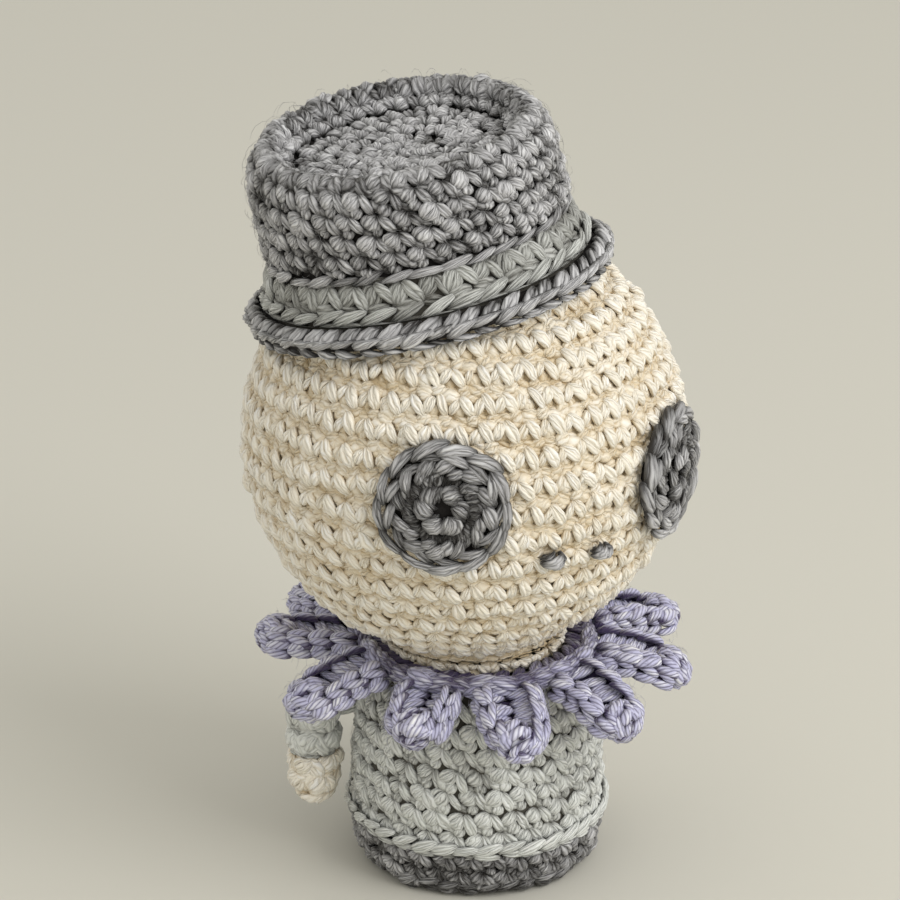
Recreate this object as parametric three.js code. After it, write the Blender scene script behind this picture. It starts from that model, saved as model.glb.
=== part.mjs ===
// A crocheted skeleton doll with a petal collar and a brimmed hat. Millimetres, +Z up.
// The origin is the centre of the flat base. The face looks along -Y, so the doll's own
// right hand is at -X. A bearing is an angle about +Z from the face, positive to the doll's left.
import * as THREE from 'three';
import { mergeVertices } from 'three/addons/utils/BufferGeometryUtils.js';

// Crochet fabric
const seatGap = 0.3; // clearance between pieces that touch
const coverThickness = 2.4; // one layer of crochet

// Base and body
const baseRadius = 21.5;
const baseDiscThickness = 2.2;
const baseEdgeRound = 1.2;
const bandHeight = 9.1;
const bandFlare = 1.8; // how much wider the band is at its top than at the floor
const ridgeHeight = 1.6; // the chain ridge that starts the light grey cover
const bellyBulge = 1.2; // how much wider the belly is than the base
const bellyHeight = 17;
const chestBulge = 0.7;
const chestHeight = 24; // the shoulders round in from here
const bodyHeight = 40.2;

// Neck and head
const neckRadius = 16;
const neckHeight = 4.5;
const headRadius = 38;
const headShift = 2.4; // the head sits this far off the body's axis
const headShiftBearing = -120;

// Face
const eyeRadius = 11.2;
const eyeThickness = 3.3;
const eyeHoleRadius = 1.3;
const eyeHoleDepth = 1.6;
const eyeBearing = 35.3;
const rightEyeLatitude = 3; // the right eye is sewn on a little higher
const leftEyeLatitude = -0.8;
const nostrilWidth = 4.4;
const nostrilHeight = 3.6;
const nostrilThickness = 2.2;
const nostrilBearing = 7.1;
const nostrilLatitude = -14;

// Collar
const collarSeatRadius = 18.3; // where the collar's round lies on the shoulders
const collarYarnDiameter = 3;
const petalRootWidth = 11.2;
const petalThickness = 3.6;
const petalTipWidth = 6.4;
// each petal's bearing, how far it reaches out from the collar and how far it droops
const petalBearings = [19, 54, 88, 126, 163, -157, -124, -90, -53, -17];
const petalReach = [11.4, 13.7, 17.8, 16.6, 16.6, 19, 16.6, 13.5, 6.4, 9.9];
const petalDroop = [8.3, 6.6, 4.8, 4.3, 4.3, 4.2, 0.7, 6.4, 8.8, 9];

// Arms
const armBearing = 115;
const armRadius = 4.8;
const handRadius = 5;
const armCoverThickness = 1.8;
const shoulderDrop = 11.4; // from the collar's round down to the arm's pivot
const armReach = 13.8; // from the pivot to the centre of the hand's round end
const handLength = 10; // the cream part, measured from its round end
const stitchSpan = 2.2; // the sewing yarn between the body and the sleeve
const stitchWidth = 2.6;
const stitchHeight = 5;

// Hat
const hatLean = 12.4;
const hatLeanBearing = -130;
const hatBore = 27.4; // inner radius of the brim, which rests on the head
const brimRadius = 31.6;
const brimThickness = 3.3;
const brimDroop = 0.9;
const hatBandBottomRadius = 29.5;
const hatBandHeight = 6;
const hatWall = 2.7;
const crownRadius = 26.9;
const crownHeight = 19.8;
const crownSlump = 0.17; // the back of the crown is this share taller, and the front shorter
const crownSlumpBearing = 180;
const wellRadius = 19.2;
const wellDepth = 4.5;
const rimRidgeRadius = 22.5;
const rimRound = 9; // how far the rim rounds down outside
const rimInnerRound = 1.6; // and inside, before the well's wall
const rimInnerWidth = 1.4;

// Facets
const largeSegments = 32;
const smallSegments = 16;
const limbSegments = 12;
const innerBallSteps = 12;

// Sizes that follow from the ones above
const neckPieceHeight = (neckHeight - 3 * seatGap) / 2;
const headBottom = bodyHeight + neckHeight;
const headOpeningDepth = Math.sqrt(headRadius ** 2 - neckRadius ** 2);
const headCentre = headBottom + headOpeningDepth;
const bandTopRadius = baseRadius + bandFlare;
const bellyRadius = baseRadius + bellyBulge;
const chestRadius = baseRadius + chestBulge;
const headPlace = pointOnBearing(headShiftBearing, headShift, headCentre);

function radians(degrees) {
  return THREE.MathUtils.degToRad(degrees);
}

// The point at a distance from the +Z axis along a bearing
function pointOnBearing(bearing, distance, height) {
  return new THREE.Vector3(Math.sin(radians(bearing)) * distance, -Math.cos(radians(bearing)) * distance, height);
}

// The body's outer radius at a height above the band
function bodyRadiusAt(height) {
  if (height < chestHeight) {
    const taper = (bellyRadius - chestRadius) / (chestHeight - bellyHeight) ** 2;
    return bellyRadius - taper * (height - bellyHeight) ** 2;
  }
  const rise = Math.min(1, (height - chestHeight) / (bodyHeight - chestHeight));
  return neckRadius + (chestRadius - neckRadius) * Math.sqrt(1 - rise ** 2);
}

// The point where the shoulders have a given radius, and the surface's slope there
function shoulderAt(radius) {
  const share = (radius - neckRadius) / (chestRadius - neckRadius);
  const rise = Math.sqrt(1 - share ** 2);
  const height = chestHeight + (bodyHeight - chestHeight) * rise;
  const normal = new THREE.Vector2(share / (chestRadius - neckRadius), rise / (bodyHeight - chestHeight));
  return { height, normal: normal.normalize() };
}

const collarSeat = shoulderAt(collarSeatRadius);
const collarLift = collarYarnDiameter / 2 + seatGap;
const collarRadius = collarSeatRadius + collarSeat.normal.x * collarLift;
const collarHeight = collarSeat.height + collarSeat.normal.y * collarLift;
const armPivotHeight = collarHeight - shoulderDrop;
const armPivotRadius = bodyRadiusAt(armPivotHeight) + stitchSpan + armRadius;

const brimLevel = Math.sqrt((headRadius + seatGap) ** 2 - hatBore ** 2);
const hatBandLevel = brimLevel + brimThickness + seatGap;
const crownLevel = hatBandLevel + hatBandHeight + seatGap;
const rimLevel = crownLevel + crownHeight;

// Joins the vertices that share a place and drops the triangles that have no area
function sealed(geometry) {
  geometry.deleteAttribute('uv');
  geometry.deleteAttribute('normal');
  const merged = mergeVertices(geometry);
  const source = merged.index.array;
  const faces = [];
  for (let i = 0; i < source.length; i += 3) {
    const [a, b, c] = [source[i], source[i + 1], source[i + 2]];
    if (a !== b && b !== c && c !== a) faces.push(a, b, c);
  }
  merged.setIndex(faces);
  merged.computeVertexNormals();
  return merged;
}

// Turns an outline of [radius, height] points about +Z. The outline goes out along the
// underside, up the outside and back in, and closes on itself where it isn't on the axis.
function turned(outline, segments) {
  const points = outline.map(([radius, height]) => new THREE.Vector2(radius, height));
  const startsOnAxis = outline[0][0] === 0;
  if (!startsOnAxis) points.push(points[0].clone());
  const geometry = new THREE.LatheGeometry(points, segments);
  geometry.rotateX(Math.PI / 2);
  return sealed(geometry);
}

// Points along an elliptical arc in an outline, angles measured from +radius towards +height
function arc(radius, height, across, up, from, to, steps) {
  return Array.from({ length: steps + 1 }, (_, i) => {
    const angle = radians(from + ((to - from) * i) / steps);
    const onAxis = Math.abs(Math.cos(angle)) < 1e-9 && radius === 0;
    return [onAxis ? 0 : radius + across * Math.cos(angle), height + up * Math.sin(angle)];
  });
}

const yarns = {
  cream: { color: 0xe6dcc2, roughness: 0.85 },
  lightGrey: { color: 0xa9aaa6, roughness: 0.85 },
  darkGrey: { color: 0x77777a, roughness: 0.85 },
  lavender: { color: 0xa7a3c9, roughness: 0.85 },
  stuffing: { color: 0xf2f1ec, roughness: 1 },
};

const doll = new THREE.Group();

function addPiece(name, geometry, yarn, parent = doll) {
  const material = new THREE.MeshStandardMaterial({ ...yarns[yarn], metalness: 0 });
  const mesh = new THREE.Mesh(geometry, material);
  mesh.name = name;
  parent.add(mesh);
  return mesh;
}

// A group whose +Z points out of the head at a bearing and latitude, on the head's surface
function placeOnHead(bearing, latitude) {
  const spot = new THREE.Group();
  const outward = new THREE.Vector3(
    Math.sin(radians(bearing)) * Math.cos(radians(latitude)),
    -Math.cos(radians(bearing)) * Math.cos(radians(latitude)),
    Math.sin(radians(latitude)),
  );
  spot.position.copy(outward).multiplyScalar(headRadius);
  spot.position.add(headPlace);
  spot.quaternion.setFromUnitVectors(new THREE.Vector3(0, 0, 1), outward);
  doll.add(spot);
  return spot;
}

// Base: a flat disc inside a dark grey band
const discRadius = baseRadius - coverThickness - seatGap;
addPiece('base_disc', turned([
  [0, 0],
  [discRadius, 0],
  [discRadius, baseDiscThickness],
  [0, baseDiscThickness],
], largeSegments), 'darkGrey');

addPiece('base_band', turned([
  [baseRadius - coverThickness, 0],
  [baseRadius - baseEdgeRound, 0],
  [baseRadius, baseEdgeRound],
  [(baseRadius + bandTopRadius) / 2 + seatGap, bandHeight / 2],
  [bandTopRadius, bandHeight - baseEdgeRound],
  [bandTopRadius - baseEdgeRound, bandHeight],
  [bandTopRadius - baseEdgeRound - coverThickness, bandHeight],
  [baseRadius - coverThickness, bandHeight / 2],
], largeSegments), 'darkGrey');

// Body cover: a belly that rounds in at the shoulders and stays open at the neck and the base
const coverBottom = bandHeight + seatGap;
const ridgeTop = coverBottom + ridgeHeight;
const sideHeights = [ridgeTop + ridgeHeight / 2, bellyHeight, (bellyHeight + chestHeight) / 2, chestHeight];
const shoulderSteps = 8;
for (let i = 1; i <= shoulderSteps; i += 1) {
  const turn = radians((90 * i) / shoulderSteps);
  sideHeights.push(chestHeight + (bodyHeight - chestHeight) * Math.sin(turn));
}
const innerNeckRadius = neckRadius - coverThickness;
const bodyOutside = sideHeights.map((height) => [bodyRadiusAt(height), height]);
const bodyInside = sideHeights.map((height) => [bodyRadiusAt(height) - coverThickness, height]).reverse();
const coverFoot = bodyRadiusAt(coverBottom) - coverThickness;
addPiece('body_cover', turned([
  [coverFoot, coverBottom],
  [bandTopRadius - baseEdgeRound, coverBottom],
  [bandTopRadius, coverBottom + ridgeHeight / 2],
  [bodyRadiusAt(ridgeTop), ridgeTop],
  ...bodyOutside,
  ...bodyInside,
], largeSegments), 'lightGrey');

const stuffingInset = coverThickness + seatGap;
const stuffingBottom = baseDiscThickness + seatGap;
addPiece('body_stuffing', turned([
  [0, stuffingBottom],
  [discRadius - seatGap, stuffingBottom],
  [discRadius, bandHeight],
  ...sideHeights.slice(1).map((height) => [bodyRadiusAt(height) - stuffingInset, height]),
  [0, bodyHeight],
], smallSegments), 'stuffing');

// Neck: two cream rounds about a plug of stuffing
const lowerRoundBottom = bodyHeight + seatGap;
const upperRoundBottom = lowerRoundBottom + neckPieceHeight + seatGap;
const neckRound = [
  [innerNeckRadius, 0],
  [neckRadius, 0],
  [neckRadius, neckPieceHeight],
  [innerNeckRadius, neckPieceHeight],
];
const neckRounds = [['neck_lower_round', lowerRoundBottom, 1 / 3], ['neck_upper_round', upperRoundBottom, 2 / 3]];
for (const [name, bottom, share] of neckRounds) {
  const round = addPiece(name, turned(neckRound, largeSegments), 'cream');
  round.position.copy(pointOnBearing(headShiftBearing, headShift * share, bottom));
}
const plugRadius = innerNeckRadius - headShift / 3 - seatGap;
const neckPlug = addPiece('neck_stuffing', turned([
  [0, 0],
  [plugRadius, 0],
  [plugRadius, neckHeight - 2 * seatGap],
  [0, neckHeight - 2 * seatGap],
], smallSegments), 'stuffing');
neckPlug.position.copy(pointOnBearing(headShiftBearing, headShift / 2, lowerRoundBottom));

// Head: a ball that is open over the neck, and its stuffing
function ballOutline(radius, openingRadius, steps) {
  const lowest = -THREE.MathUtils.radToDeg(Math.acos(openingRadius / radius));
  return arc(0, 0, radius, radius, lowest, 90, steps);
}
const head = new THREE.Group();
head.position.copy(headPlace);
doll.add(head);
addPiece('head_cover', turned([
  [innerNeckRadius, -headOpeningDepth],
  ...ballOutline(headRadius, neckRadius, 18),
  ...ballOutline(headRadius - coverThickness, innerNeckRadius, innerBallSteps).reverse(),
], largeSegments), 'cream', head);
addPiece('head_stuffing', turned([
  [0, -headOpeningDepth],
  [innerNeckRadius - seatGap, -headOpeningDepth],
  ...ballOutline(headRadius - stuffingInset, innerNeckRadius - seatGap, innerBallSteps),
], smallSegments), 'stuffing', head);

// Eyes: round discs whose backs follow the head
function headDrop(radius) {
  return Math.sqrt((headRadius + seatGap) ** 2 - radius ** 2) - headRadius;
}
function eyeGeometry() {
  const back = [0, 0.35, 0.7, 1].map((share) => [share * eyeRadius, headDrop(share * eyeRadius)]);
  const rim = headDrop(eyeRadius) + eyeThickness;
  return turned([
    ...back,
    [eyeRadius, rim - eyeThickness / 2],
    [eyeRadius * 0.93, rim - eyeThickness * 0.1],
    [eyeRadius * 0.7, headDrop(eyeRadius * 0.7) + eyeThickness],
    [eyeHoleRadius * 1.6, headDrop(0) + eyeThickness],
    [eyeHoleRadius, headDrop(0) + eyeThickness - eyeHoleDepth / 2],
    [0, headDrop(0) + eyeThickness - eyeHoleDepth],
  ], smallSegments);
}
// Nostrils: small knots of wrapped yarn
function nostrilGeometry() {
  const geometry = turned([
    [0, seatGap],
    ...arc(0, seatGap, 1, nostrilThickness, 0, 90, 4),
  ], limbSegments);
  return geometry.scale(nostrilWidth / 2, nostrilHeight / 2, 1);
}
for (const [side, sign] of [['right', -1], ['left', 1]]) {
  const eyeLatitude = sign < 0 ? rightEyeLatitude : leftEyeLatitude;
  addPiece(`${side}_eye`, eyeGeometry(), 'darkGrey', placeOnHead(sign * eyeBearing, eyeLatitude));
  addPiece(`${side}_nostril`, nostrilGeometry(), 'darkGrey', placeOnHead(sign * nostrilBearing, nostrilLatitude));
}

// Collar: one round on the shoulders, and ten troughs that reach out from it
const yarnRadius = collarYarnDiameter / 2;
addPiece('collar_ring', turned(
  arc(collarRadius, collarHeight, yarnRadius, yarnRadius, -90, 240, 11),
  largeSegments,
), 'lavender');

// A petal's section as shares of its half width and half thickness: a shallow trough
const troughSection = [
  [-1, 0.9], [-0.95, 0.1], [-0.5, -0.8], [0, -1], [0.5, -0.8],
  [0.95, 0.1], [1, 0.9], [0.55, 0.1], [0, -0.1], [-0.55, 0.1],
];
const petalSections = 9;

function petalHalfWidth(along) {
  const tip = petalTipWidth / 2;
  const swell = Math.cos((Math.PI / 2) * along ** 2);
  return tip + (petalRootWidth / 2 - tip) * swell;
}

// A petal that reaches along -Y: rings of the trough section along a drooping curve
function petalGeometry(reach, droop) {
  const root = new THREE.Vector3(0, -(collarRadius + yarnRadius + seatGap), collarHeight);
  const tip = new THREE.Vector3(0, root.y - reach, root.z - droop);
  const bend = new THREE.Vector3(0, root.y - reach * 0.6, root.z - droop * 0.2);
  const spine = new THREE.QuadraticBezierCurve3(root, bend, tip);
  const positions = [];
  for (let i = 0; i < petalSections; i += 1) {
    const along = i / (petalSections - 1);
    const centre = spine.getPoint(along);
    const forward = spine.getTangent(along);
    const up = new THREE.Vector3(0, forward.z, -forward.y);
    const halfThickness = (petalThickness / 2) * (i === petalSections - 1 ? 0.6 : 1);
    for (const [across, lift] of troughSection) {
      const corner = centre.clone().addScaledVector(up, lift * halfThickness);
      positions.push(across * petalHalfWidth(along), corner.y, corner.z);
    }
  }
  const ring = troughSection.length;
  const faces = [];
  for (let i = 0; i < petalSections - 1; i += 1) {
    for (let j = 0; j < ring; j += 1) {
      const here = i * ring + j;
      const beside = i * ring + ((j + 1) % ring);
      faces.push(here, beside, here + ring, beside, beside + ring, here + ring);
    }
  }
  // The ends close with strips between the trough's upper and lower points
  const strip = [[0, 1, 9], [1, 2, 9], [9, 2, 8], [2, 3, 8], [3, 4, 8], [8, 4, 7], [4, 5, 7], [5, 6, 7]];
  const last = (petalSections - 1) * ring;
  for (const [a, b, c] of strip) {
    faces.push(a, c, b);
    faces.push(last + a, last + b, last + c);
  }
  const geometry = new THREE.BufferGeometry();
  geometry.setAttribute('position', new THREE.Float32BufferAttribute(positions, 3));
  geometry.setIndex(faces);
  geometry.computeVertexNormals();
  return geometry;
}
petalBearings.forEach((bearing, i) => {
  const petal = addPiece(`collar_petal_${i + 1}`, petalGeometry(petalReach[i], petalDroop[i]), 'lavender');
  petal.rotation.z = radians(bearing);
});

// Arms: a light grey sleeve, a cream hand and the stuffing in them, hung from the shoulder pivot
const handTop = -armReach - handRadius + handLength;
function limbRadiusAt(height) {
  return armRadius + ((handRadius - armRadius) * height) / -armReach;
}
function addArm(side, sign) {
  const shoulder = new THREE.Group();
  shoulder.rotation.z = radians(sign * armBearing);
  doll.add(shoulder);
  const limb = new THREE.Group();
  limb.position.set(0, -armPivotRadius, armPivotHeight);
  shoulder.add(limb);
  const inner = armRadius - armCoverThickness;
  const handInner = handRadius - armCoverThickness;
  const sleeveBottom = handTop + seatGap;
  addPiece(`${side}_sleeve`, turned([
    [limbRadiusAt(sleeveBottom) - armCoverThickness, sleeveBottom],
    [limbRadiusAt(sleeveBottom), sleeveBottom],
    ...arc(0, 0, armRadius, armRadius, 0, 90, 6),
    ...arc(0, 0, inner, inner, 0, 90, 4).reverse(),
  ], limbSegments), 'lightGrey', limb);
  addPiece(`${side}_hand`, turned([
    ...arc(0, -armReach, handRadius, handRadius, -90, 0, 6),
    [limbRadiusAt(handTop), handTop],
    [limbRadiusAt(handTop) - armCoverThickness, handTop],
    ...arc(0, -armReach, handInner, handInner, -90, 0, 4).reverse(),
  ], limbSegments), 'cream', limb);
  const fill = inner - seatGap;
  const handFill = handInner - seatGap;
  addPiece(`${side}_arm_stuffing`, turned([
    ...arc(0, -armReach, handFill, handFill, -90, 0, 4),
    ...arc(0, 0, fill, fill, 0, 90, 4),
  ], limbSegments), 'stuffing', limb);
  const stitches = new THREE.SphereGeometry(0.5, 12, 8);
  stitches.scale(stitchWidth, stitchSpan - 2 * seatGap, stitchHeight);
  const sewn = addPiece(`${side}_shoulder_stitches`, sealed(stitches), 'lightGrey', shoulder);
  sewn.position.set(0, -(armPivotRadius - armRadius - stitchSpan / 2), armPivotHeight);
}
addArm('right', -1);
addArm('left', 1);

// Hat: brim, band and crown stacked along an axis that leans off the head's
const hat = new THREE.Group();
const hatAxis = pointOnBearing(hatLeanBearing, Math.sin(radians(hatLean)), Math.cos(radians(hatLean)));
hat.position.copy(headPlace);
hat.quaternion.setFromUnitVectors(new THREE.Vector3(0, 0, 1), hatAxis);
doll.add(hat);

const brimEdge = brimThickness / 2;
addPiece('hat_brim', turned([
  [hatBore, brimLevel],
  ...arc(brimRadius - brimEdge, brimLevel - brimDroop + brimEdge, brimEdge, brimEdge, -90, 90, 4),
  [hatBore, brimLevel + brimThickness],
], largeSegments), 'darkGrey', hat);

const bandTop = hatBandLevel + hatBandHeight;
addPiece('hat_band', turned([
  [hatBandBottomRadius - hatWall, hatBandLevel],
  [hatBandBottomRadius, hatBandLevel],
  [crownRadius, bandTop],
  [crownRadius - hatWall, bandTop],
], largeSegments), 'lightGrey', hat);

// The crown's wall folds over at the rim and comes down inside to the floor of the well
const foldLevel = rimLevel - rimInnerRound - coverThickness / 2; // top of the pocket between the walls
const floorLevel = rimLevel - wellDepth;
const crown = turned([
  [0, floorLevel - coverThickness],
  [wellRadius + coverThickness, floorLevel - coverThickness],
  [wellRadius + coverThickness, foldLevel],
  [crownRadius - hatWall, foldLevel - coverThickness],
  [crownRadius - hatWall, crownLevel],
  [crownRadius, crownLevel],
  ...arc(rimRidgeRadius, rimLevel - rimRound, crownRadius - rimRidgeRadius, rimRound, 0, 90, 4),
  ...arc(rimRidgeRadius, rimLevel - rimInnerRound, rimInnerWidth, rimInnerRound, 90, 180, 3).slice(1),
  [wellRadius, floorLevel],
  [0, floorLevel],
], largeSegments);
const tallSide = pointOnBearing(crownSlumpBearing, 1, 0);
const crownPoints = crown.attributes.position;
for (let i = 0; i < crownPoints.count; i += 1) {
  const towardsTall = crownPoints.getX(i) * tallSide.x + crownPoints.getY(i) * tallSide.y;
  const stretch = 1 + (crownSlump * towardsTall) / crownRadius;
  crownPoints.setZ(i, crownLevel + (crownPoints.getZ(i) - crownLevel) * stretch);
}
crown.computeVertexNormals();
addPiece('hat_crown', crown, 'darkGrey', hat);

export default doll;
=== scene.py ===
import math
from functools import partial
from typing import NamedTuple

import bpy
import numpy as np
from mathutils import Matrix, Vector


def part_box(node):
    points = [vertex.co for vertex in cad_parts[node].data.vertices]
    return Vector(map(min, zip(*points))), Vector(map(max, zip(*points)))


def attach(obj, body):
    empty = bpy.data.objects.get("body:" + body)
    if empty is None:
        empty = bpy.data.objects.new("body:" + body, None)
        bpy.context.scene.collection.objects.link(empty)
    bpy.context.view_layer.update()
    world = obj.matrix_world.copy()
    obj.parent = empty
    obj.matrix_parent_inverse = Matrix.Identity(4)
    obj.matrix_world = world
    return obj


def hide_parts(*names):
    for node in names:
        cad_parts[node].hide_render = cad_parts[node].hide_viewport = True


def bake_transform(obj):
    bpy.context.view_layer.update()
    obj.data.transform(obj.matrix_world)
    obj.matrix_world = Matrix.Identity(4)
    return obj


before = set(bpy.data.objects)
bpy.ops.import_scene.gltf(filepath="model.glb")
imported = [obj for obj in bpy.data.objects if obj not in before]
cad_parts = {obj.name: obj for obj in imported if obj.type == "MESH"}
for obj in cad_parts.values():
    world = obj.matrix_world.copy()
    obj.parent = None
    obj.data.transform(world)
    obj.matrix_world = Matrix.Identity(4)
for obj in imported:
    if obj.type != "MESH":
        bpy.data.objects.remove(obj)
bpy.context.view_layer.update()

bl_info = {
    "name": "Crocheted doll",
    "version": (1, 0, 0),
    "blender": (4, 5, 0),
    "location": "View3D > Sidebar > Doll",
    "description": "Crochets the doll's head, body, collar, arms and hat over its frame",
    "category": "Add Mesh",
}

MM = 0.001
TAU = 2 * math.pi
UP = Vector((0, 0, 1))


def linear(hex_colour):
    """An sRGB hex colour as linear red, green and blue."""
    parts = [int(hex_colour[i : i + 2], 16) / 255 for i in (1, 3, 5)]
    return tuple(c / 12.92 if c <= 0.04045 else ((c + 0.055) / 1.055) ** 2.4 for c in parts)


def points_of(node):
    """The CAD node's points in millimetres."""
    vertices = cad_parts[node].data.vertices
    flat = np.empty(len(vertices) * 3, np.float32)
    vertices.foreach_get("co", flat)
    return flat.reshape(-1, 3).astype(float) / MM


def middle_of(node):
    """The centre of the CAD node's box in millimetres."""
    low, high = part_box(node)
    return np.array((low + high) / 2) / MM


def size_of(node):
    """The width, depth and height of the CAD node's box in millimetres."""
    low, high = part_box(node)
    return np.array(high - low) / MM


def colour_property(name, description, hex_colour):
    return bpy.props.FloatVectorProperty(
        name=name,
        description=description,
        subtype="COLOR",
        size=3,
        min=0,
        max=1,
        default=linear(hex_colour),
    )


def length_property(name, description, millimetres):
    return bpy.props.FloatProperty(
        name=name,
        description=description,
        unit="LENGTH",
        min=0,
        default=millimetres * MM,
    )


def angle_property(name, description, degrees):
    return bpy.props.FloatProperty(
        name=name,
        description=description,
        subtype="ANGLE",
        default=math.radians(degrees),
    )


def power_property(name, description, watts):
    return bpy.props.FloatProperty(name=name, description=description, unit="POWER", min=0, default=watts)


def count_property(name, description, fewest, count):
    return bpy.props.IntProperty(name=name, description=description, min=fewest, default=count)


class YarnSettings(bpy.types.PropertyGroup):
    cream: colour_property("Cream", "The head's, neck's and hands' yarn", "#FCF5E6")
    # The shade colours are painted shade: each yarn darkens towards its shade down between the strands, and
    # the ground under the stitches is coloured with it
    cream_shade: colour_property("Cream shade", "Deep between the cream strands", "#D8C4A0")
    light_grey: colour_property("Light grey", "The body's, sleeves' and hat band's yarn", "#E2E4DF")
    light_grey_shade: colour_property("Light grey shade", "Deep between those strands", "#4E4B44")
    dark_grey: colour_property("Dark grey", "The hat's, eyes' and base's yarn", "#C5C4C6")
    dark_grey_shade: colour_property("Dark grey shade", "Deep between those strands", "#1F1B1A")
    lavender: colour_property("Lavender", "The collar's yarn", "#C9C8E6")
    lavender_shade: colour_property("Lavender shade", "Deep between those strands", "#453A5E")
    wobble: length_property("Wobble", "How far a strand's ends stray from their place", 0.16)


class HeadSettings(bpy.types.PropertyGroup):
    rounds: count_property("Rounds", "Rounds from neck to crown", 4, 21)
    stitches: count_property("Stitches", "Stitches in the widest round", 12, 60)
    depth: length_property("Stitch depth", "From the fabric's ground to the strands' tops", 1.5)


class EyeSettings(bpy.types.PropertyGroup):
    edge_stitches: count_property("Edge", "Chain stitches round the eye", 6, 13)
    middle_stitches: count_property("Middle", "Stitches inside the edge", 6, 11)
    inner_stitches: count_property("Inner", "Stitches round the hole", 4, 6)


class BodySettings(bpy.types.PropertyGroup):
    rounds: count_property("Rounds", "Rounds from ridge to neck", 3, 8)
    stitches: count_property("Stitches", "Stitches in the belly's round", 12, 30)
    ridge_stitches: count_property("Ridge", "Chain stitches in the ridge", 12, 36)
    base_rounds: count_property("Base rounds", "Dark rounds above the floor", 1, 2)
    depth: length_property("Stitch depth", "From the fabric's ground to the strands' tops", 1.7)


class CollarSettings(bpy.types.PropertyGroup):
    ring_stitches: count_property("Ring", "Slanted stitches round the neck", 12, 34)
    loop_length: length_property("Loop length", "One chain loop along a petal's edge", 3.6)
    knob_width: length_property("Knob width", "The knot at a petal's tip, across the petal", 8.0)
    knob_height: length_property("Knob height", "The same knot, up and down", 6.0)


class ArmSettings(bpy.types.PropertyGroup):
    stitches: count_property("Stitches", "Stitches round the arm", 4, 6)
    round_height: length_property("Round height", "One round of stitches along the arm", 4.2)
    depth: length_property("Stitch depth", "From the fabric's ground to the strands' tops", 1.3)


class HatSettings(bpy.types.PropertyGroup):
    lean: angle_property("Lean", "How far the hat leans off upright", 12.4)
    lean_bearing: angle_property("Lean bearing", "Where it leans, from the face to its left", -130)
    slump: bpy.props.FloatProperty(
        name="Slump",
        description="How much taller the back of the crown is, and shorter the front",
        subtype="FACTOR",
        default=0.17,
    )
    rim_height: length_property("Rim height", "From the crown's lower edge to its rim", 19.8)
    rim_radius: length_property("Rim radius", "From the hat's axis to the top of the rim", 21.6)
    shoulder: length_property("Shoulder", "How far below the rim the crown starts to round", 9.0)
    well_radius: length_property("Well radius", "The sunk top, from the hat's axis to its wall", 17.6)
    well_depth: length_property("Well depth", "From the rim down to the sunk top", 4.7)
    well_rounds: count_property("Well rounds", "Rounds of stitches on the sunk top", 2, 5)
    stitches: count_property("Stitches", "Stitches round the crown", 12, 34)
    chain_stitches: count_property("Chain", "Loops in the chain ridges", 12, 38)
    edge_stitches: count_property("Edge", "Loops round the brim's edge", 12, 48)
    post_stitches: count_property("Posts", "Slanted posts on the brim", 12, 54)
    round_height: length_property("Round height", "One round of stitches up the crown", 4.15)
    depth: length_property("Stitch depth", "From the fabric's ground to the strands' tops", 1.9)


class StageSettings(bpy.types.PropertyGroup):
    azimuth: angle_property("Azimuth", "The camera's bearing from the face", -30)
    elevation: angle_property("Elevation", "The camera's height as an angle", 22)
    distance: length_property("Distance", "From the camera to the head's centre", 628)
    lens: bpy.props.FloatProperty(
        name="Lens",
        description="Focal length on a 36 mm sensor, in millimetres",
        default=146.6,
    )
    head_right: length_property("Right of centre", "The head's place in the view", 2.4)
    head_up: length_property("Above centre", "The head's place in the view", 3.1)
    floor: colour_property("Floor", "The floor and what lies behind it", "#D3D0C5")
    key_power: power_property("Key", "The window light", 5.5)
    fill_power: power_property("Bounce", "A low light on its side", 0.55)
    sky: bpy.props.FloatProperty(name="Sky", description="The light from all round", default=0.81)


# Strands of yarn

class Leg(NamedTuple):
    """A bundle of strands in its cell. Start and end are (across, along) as shares of the
    cell and (out) in millimetres; width and thickness are halves of the bundle. Arch lifts
    its middle, bow pushes it sideways and swell makes its end wider than its start."""

    start: tuple
    end: tuple
    width: float
    thickness: float
    arch: float = 0.0
    bow: float = 0.0
    swell: float = 0.0
    strands: int = 1


STRAND_SEGMENTS = 6
STRAND_RINGS = 6
STRAND_BLUNTNESS = 0.6  # 1 is a spindle with round ends, 0 would be a cylinder
STRAND_OVERLAP = 1.3  # neighbours in a bundle press into each other this much
STRAND_PLUMPNESS = 1.3  # each of them is this much thicker than it is wide
STRAND_FALL = 0.5  # and the outer ones lie lower
BUNDLE_TAPER = 0.55  # how soon a bundle's strands part: 1 is slowly, 0 is at once
STITCH_TILT = 0.11  # how far whole stitches are turned, in radians
LEG_STRAY = 0.7  # how far a leg's ends stray, as a share of what its stitch does
GIRTH_SPREAD = 0.1  # how much legs differ in girth
SPACING_SPREAD = 0.05  # and strands in their place in the bundle


def strand_unit():
    """The strand that every stitch is laid with: a spindle along Z, tapered to both ends."""
    bpy.ops.object.select_all(action="DESELECT")
    bpy.ops.mesh.primitive_uv_sphere_add(segments=STRAND_SEGMENTS, ring_count=STRAND_RINGS, radius=1)
    spindle = bpy.context.object
    mesh = spindle.data
    points = np.array([v.co for v in mesh.vertices])
    girth = np.hypot(points[:, 0], points[:, 1]).clip(0.001, 1)
    points[:, :2] *= (girth ** (STRAND_BLUNTNESS - 1))[:, None]
    unit = {
        "points": points,
        "corners": np.array([loop.vertex_index for loop in mesh.loops]),
        "starts": np.array([face.loop_start for face in mesh.polygons]),
        "uv": np.array([loop.uv for loop in mesh.uv_layers[0].data]),
    }
    bpy.data.objects.remove(spindle)
    bpy.data.meshes.remove(mesh)
    return unit


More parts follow.
